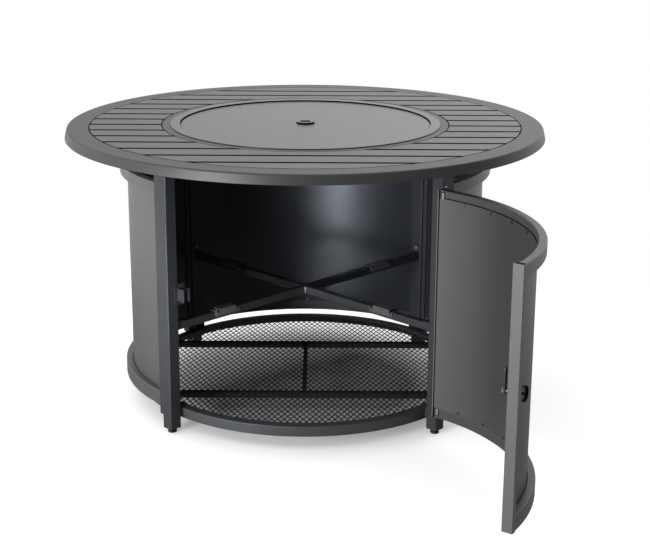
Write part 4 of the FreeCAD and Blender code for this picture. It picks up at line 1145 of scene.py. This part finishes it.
def on_latch(outline, low, high):
    """An outline across the latch, given as sideways and upwards, from one radius to another."""
    grid = turned(prism_grid(np.asarray(outline), low, high), GRIP_TURN)[..., [2, 0, 1]]
    return hung(turned(grid + (0, 0, LATCH_LEVEL), LATCH_ANGLE))


def crescent(outer, thick, reach, steps=28):
    """A closed crescent: an arc of one radius out and back inside, thinner towards its tips.

    Its wall at angle a is thick times cos(a / 1.6), and it spans plus and minus reach degrees.
    """
    a = np.radians(np.linspace(-reach, reach, steps))
    inner = outer - thick * np.cos(a / 1.6)
    out = outer * np.stack([np.cos(a), np.sin(a)], 1)
    back = (inner[:, None] * np.stack([np.cos(a), np.sin(a)], 1))[::-1]
    return np.concatenate([out, back])


arc = on_latch(crescent(ARC_RADIUS, ARC_WALL, ARC_REACH), BEZEL_FRONT - 0.5, BEZEL_FRONT + GRIP_HEIGHT)
(tip, tip_half), (root, root_half) = BAR_TIP, BAR_ROOT
bar_outline = rounded([(tip, -tip_half), (root, -root_half), (root, root_half), (tip, tip_half)], radius=1.0)
bar = on_latch(bar_outline, BEZEL_FRONT - 1, BEZEL_FRONT + BAR_HEIGHT)
# Partly real and partly painted: the bar is the knob's black grip, and the arc is painted shade in the
# bezel's recess.
finish_mesh("knob_grip_and_recess_shade", *joined([arc, bar]), FINISH["shade"], "door_latch", slot="black_plastic", bevel=0.4)
dish = on_latch(circle(DISH_RADIUS, 48), BEZEL_FRONT - DISH_DEPTH, BEZEL_FRONT + 0.3)
finish_mesh(
    "knob_dish", *joined([dish]), FINISH["door"], "door_latch", ["latch_knob"], slot="black_plastic",
    bevel=0.8,
)
shaft = on_latch(circle(SHAFT_RADIUS, 32), SHAFT_END, BEZEL_FRONT - 2.6)
finish_mesh("latch_shaft", *joined([shaft]), FINISH["screws"], "door_latch", slot="zinc", bevel=0.4)
print("latch bezel at radius", BEZEL_FRONT)

# %% [markdown]
# ## What stays as the frame made it
# Small and hidden parts keep their shape and only get a finish.

# %% Finishes on frame nodes
KEPT = {
    "clip": ["saddle_clips"],
    "frame": ["hinge_post_leaf", "hinge_door_leaf", "top_support_ring", "top_bearers", "control_plate"],
    "door": ["latch_housing"],
    "zinc": ["post_inserts", "hinge_pin"],
    "screws": ["panel_screws", "door_screws", "latch_cam_nut", "latch_housing_nut"],
    "keeper": ["latch_keeper"],
    "steel": ["ring_burner", "pilot_electrode"],
    "brass": ["gas_valve", "gas_inlet_fitting"],
    "black": ["latch_cam", "control_knob", "igniter_button", "igniter_body"],
}
for finish, names in KEPT.items():
    for name in names:
        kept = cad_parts[name].data.materials
        kept.clear()
        kept.append(FINISH[finish])
print("kept nodes:", sum(len(names) for names in KEPT.values()))

# %% [markdown]
# ## Light as a material
# The stage needs a few more steps than the metal does: two shaders mixed by a factor, a
# plain matt or glowing white, and a glow whose strength comes from a pattern.

# %% Light steps


def blended(tree, factor, first, second):
    """One shader changed into another by a factor."""
    mix = tree.nodes.new("ShaderNodeMixShader")
    tree.links.new(factor, mix.inputs[0])
    tree.links.new(first, mix.inputs[1])
    tree.links.new(second, mix.inputs[2])
    return mix.outputs[0]


def matt(tree, kind, value):
    """A plain diffuse or glowing white of one value."""
    made = tree.nodes.new(kind)
    made.inputs["Color"].default_value = (value, value, value, 1)
    return made.outputs[0]


def lit(tree, strength):
    """A white glow whose strength comes from a pattern."""
    made = tree.nodes.new("ShaderNodeEmission")
    tree.links.new(strength, made.inputs["Strength"])
    return made.outputs[0]

print("light steps ready:", blended.__name__, matt.__name__, lit.__name__)

# %% [markdown]
# ## Floor
# The picture is a plain studio cut-out: white all round, soft light from above, a faint
# grey contact shadow. The floor looks white to the camera but lights the metal as a pale
# floor would.

# %% Studio floor
PAPER_WHITE, PAPER_GREY = 0.9, 0.35
FLOOR_REACH = 12.0


def pale_floor(name):
    """White paper that glows a little where it is looked at, so only real shadow shows on it.

    Far off it is plain white. Under the table it keeps its shadow. Its glow is painted
    light that grows away from the table and towards the back left, and lightens the
    shadow as light spilling in from behind and from the left would. Glossy rays see it
    grey near the table, a painted shade in reflections, and white far off, and for
    scattered light it is a mid grey.
    """
    made = bpy.data.materials.new(name)
    made.use_nodes = True
    tree = made.node_tree
    tree.nodes.clear()
    where = tree.nodes.new("ShaderNodeTexCoord").outputs["Object"]
    length = tree.nodes.new("ShaderNodeVectorMath")
    length.operation = "LENGTH"
    tree.links.new(where, length.inputs[0])
    across = tree.nodes.new("ShaderNodeVectorMath")
    across.operation = "DOT_PRODUCT"
    across.inputs[1].default_value = (-0.6, 0.8, 0.0)
    tree.links.new(where, across.inputs[0])
    reach = length.outputs["Value"]
    painted_glow = tree.nodes.new("ShaderNodeMath")
    painted_glow.operation = "MAXIMUM"
    around_table = spread(tree, reach, 0.0, 0.45, from_low=0.28, from_high=0.52)
    from_behind = spread(tree, across.outputs["Value"], 0.0, 0.3, from_low=0.1, from_high=0.4)
    tree.links.new(around_table, painted_glow.inputs[0])
    tree.links.new(from_behind, painted_glow.inputs[1])
    paper = tree.nodes.new("ShaderNodeAddShader")
    tree.links.new(matt(tree, "ShaderNodeBsdfDiffuse", PAPER_WHITE), paper.inputs[0])
    tree.links.new(lit(tree, painted_glow.outputs[0]), paper.inputs[1])
    away = spread(tree, reach, 0.0, 1.0, from_low=0.85, from_high=1.5)
    white = blended(tree, away, paper.outputs[0], matt(tree, "ShaderNodeEmission", 1.0))
    mirrored = lit(tree, spread(tree, reach, 0.3, 1.0, from_low=0.8, from_high=3.0))
    seen = tree.nodes.new("ShaderNodeLightPath")
    scattered = matt(tree, "ShaderNodeBsdfDiffuse", PAPER_GREY)
    shown = blended(tree, seen.outputs["Is Glossy Ray"], scattered, mirrored)
    shown = blended(tree, seen.outputs["Is Camera Ray"], shown, white)
    tree.links.new(shown, tree.nodes.new("ShaderNodeOutputMaterial").inputs["Surface"])
    return made


floor_mesh = bpy.data.meshes.new("studio_floor")
floor_mesh.from_pydata(
    [(-FLOOR_REACH, -FLOOR_REACH, 0), (FLOOR_REACH, -FLOOR_REACH, 0),
     (FLOOR_REACH, FLOOR_REACH, 0), (-FLOOR_REACH, FLOOR_REACH, 0)],
    [], [(0, 1, 2, 3)],
)
studio_floor = bpy.data.objects.new("studio_floor", floor_mesh)
bpy.context.scene.collection.objects.link(studio_floor)
floor_mesh.materials.append(pale_floor("studio_white"))
print("stage reaches", FLOOR_REACH, "m")

# %% [markdown]
# ## Surroundings
# Round the table stand white walls that are brighter behind and to the left, with a bright
# ceiling. Smooth steps along X, Y and Z make them. The camera sees plain white.

# %% World
world = bpy.data.worlds.new("studio")
bpy.context.scene.world = world
world.use_nodes = True
tree = world.node_tree
tree.nodes.clear()
out = tree.nodes.new("ShaderNodeOutputWorld")
direction = tree.nodes.new("ShaderNodeSeparateXYZ")
tree.links.new(tree.nodes.new("ShaderNodeTexCoord").outputs["Generated"], direction.inputs[0])


def ramp(value, low, high, to_low, to_high):
    """A smooth step of the world's brightness along one direction."""
    made = tree.nodes.new("ShaderNodeMapRange")
    made.interpolation_type = "SMOOTHSTEP"
    for name, number in (("From Min", low), ("From Max", high), ("To Min", to_low), ("To Max", to_high)):
        made.inputs[name].default_value = number
    tree.links.new(value, made.inputs["Value"])
    return made.outputs["Result"]


def both(first, second, operation):
    """Two brightnesses joined into one."""
    made = tree.nodes.new("ShaderNodeMath")
    made.operation = operation
    tree.links.new(first, made.inputs[0])
    tree.links.new(second, made.inputs[1])
    return made.outputs[0]


behind = ramp(direction.outputs["Y"], low=-0.1, high=0.7, to_low=0.12, to_high=1.15)
to_right = ramp(direction.outputs["X"], low=-0.3, high=0.3, to_low=0.95, to_high=1.5)
behind = both(behind, to_right, "MULTIPLY")
beside = ramp(direction.outputs["X"], low=-0.75, high=-0.1, to_low=1.6, to_high=0.12)
above = ramp(direction.outputs["Z"], low=0.35, high=0.9, to_low=0.0, to_high=1.2)
walls = both(behind, beside, "MAXIMUM")
soft = tree.nodes.new("ShaderNodeBackground")
tree.links.new(both(walls, above, "MAXIMUM"), soft.inputs["Strength"])
white = tree.nodes.new("ShaderNodeBackground")
white.inputs["Color"].default_value = (1, 1, 1, 1)
white.inputs["Strength"].default_value = 1.0
seen = tree.nodes.new("ShaderNodeLightPath")
mix = tree.nodes.new("ShaderNodeMixShader")
tree.links.new(seen.outputs["Is Camera Ray"], mix.inputs[0])
tree.links.new(soft.outputs[0], mix.inputs[1])
tree.links.new(white.outputs[0], mix.inputs[2])
tree.links.new(mix.outputs[0], out.inputs["Surface"])
print("world:", world.name)

# %% [markdown]
# ## Lights
# Two soft lamps stand in front on the left. One is large and lights the left faces, the
# other is low and narrow, and its reflection is the pale band on the back sheet.

# %% Lights


def area_light(name, place, target, width, height, power, spread_angle=180):
    """A soft box that looks at a point; a grid in front of it can narrow its spread."""
    lamp = bpy.data.lights.new(name, "AREA")
    lamp.shape = "RECTANGLE"
    lamp.size = width
    lamp.size_y = height
    lamp.energy = power
    lamp.spread = radians(spread_angle)
    made = bpy.data.objects.new(name, lamp)
    bpy.context.scene.collection.objects.link(made)
    made.location = place
    made.visible_camera = False
    made.rotation_euler = (Vector(target) - Vector(place)).to_track_quat("-Z", "Y").to_euler()
    return made


area_light("left_front", place=(-2.4, -3.0, 0.75), target=(0.1, 0, 0.35), width=1.0, height=1.4, power=120)
area_light(
    "low_left", place=(-1.0, -2.1, 0.32), target=(-0.03, 0.44, 0.42), width=0.45, height=0.5, power=0.9,
    spread_angle=16,
)
print("lights:", len(bpy.data.lights))

# %% [markdown]
# ## Camera
# The camera stands where the photographer's did: its height, distance and lens were worked
# out from the ellipses of the tabletop and the upright lines of the posts.

# %% Camera
CAMERA_PLACE = Vector((0.0430, -3.6489, 1.4059))
PITCH, YAW, ROLL = 16.716, 0.143, 0.305
LENS, SENSOR = 79.8, 36.0
pitch, yaw, roll = radians(PITCH), radians(YAW), radians(ROLL)
forward = Vector((sin(yaw) * cos(pitch), cos(yaw) * cos(pitch), -sin(pitch)))
level_right = Vector((cos(yaw), -sin(yaw), 0))
level_up = level_right.cross(forward)
right = cos(roll) * level_right + sin(roll) * level_up
up = -sin(roll) * level_right + cos(roll) * level_up
camera_data = bpy.data.cameras.new("camera")
camera_data.lens = LENS
camera_data.sensor_width = SENSOR
camera = bpy.data.objects.new("camera", camera_data)
bpy.context.scene.collection.objects.link(camera)
camera.matrix_world = Matrix((
    (right.x, up.x, -forward.x, CAMERA_PLACE.x),
    (right.y, up.y, -forward.y, CAMERA_PLACE.y),
    (right.z, up.z, -forward.z, CAMERA_PLACE.z),
    (0, 0, 0, 1),
))
bpy.context.scene.camera = camera
bpy.context.scene.view_settings.view_transform = "Standard"
print("camera at", tuple(round(v, 3) for v in camera.location))
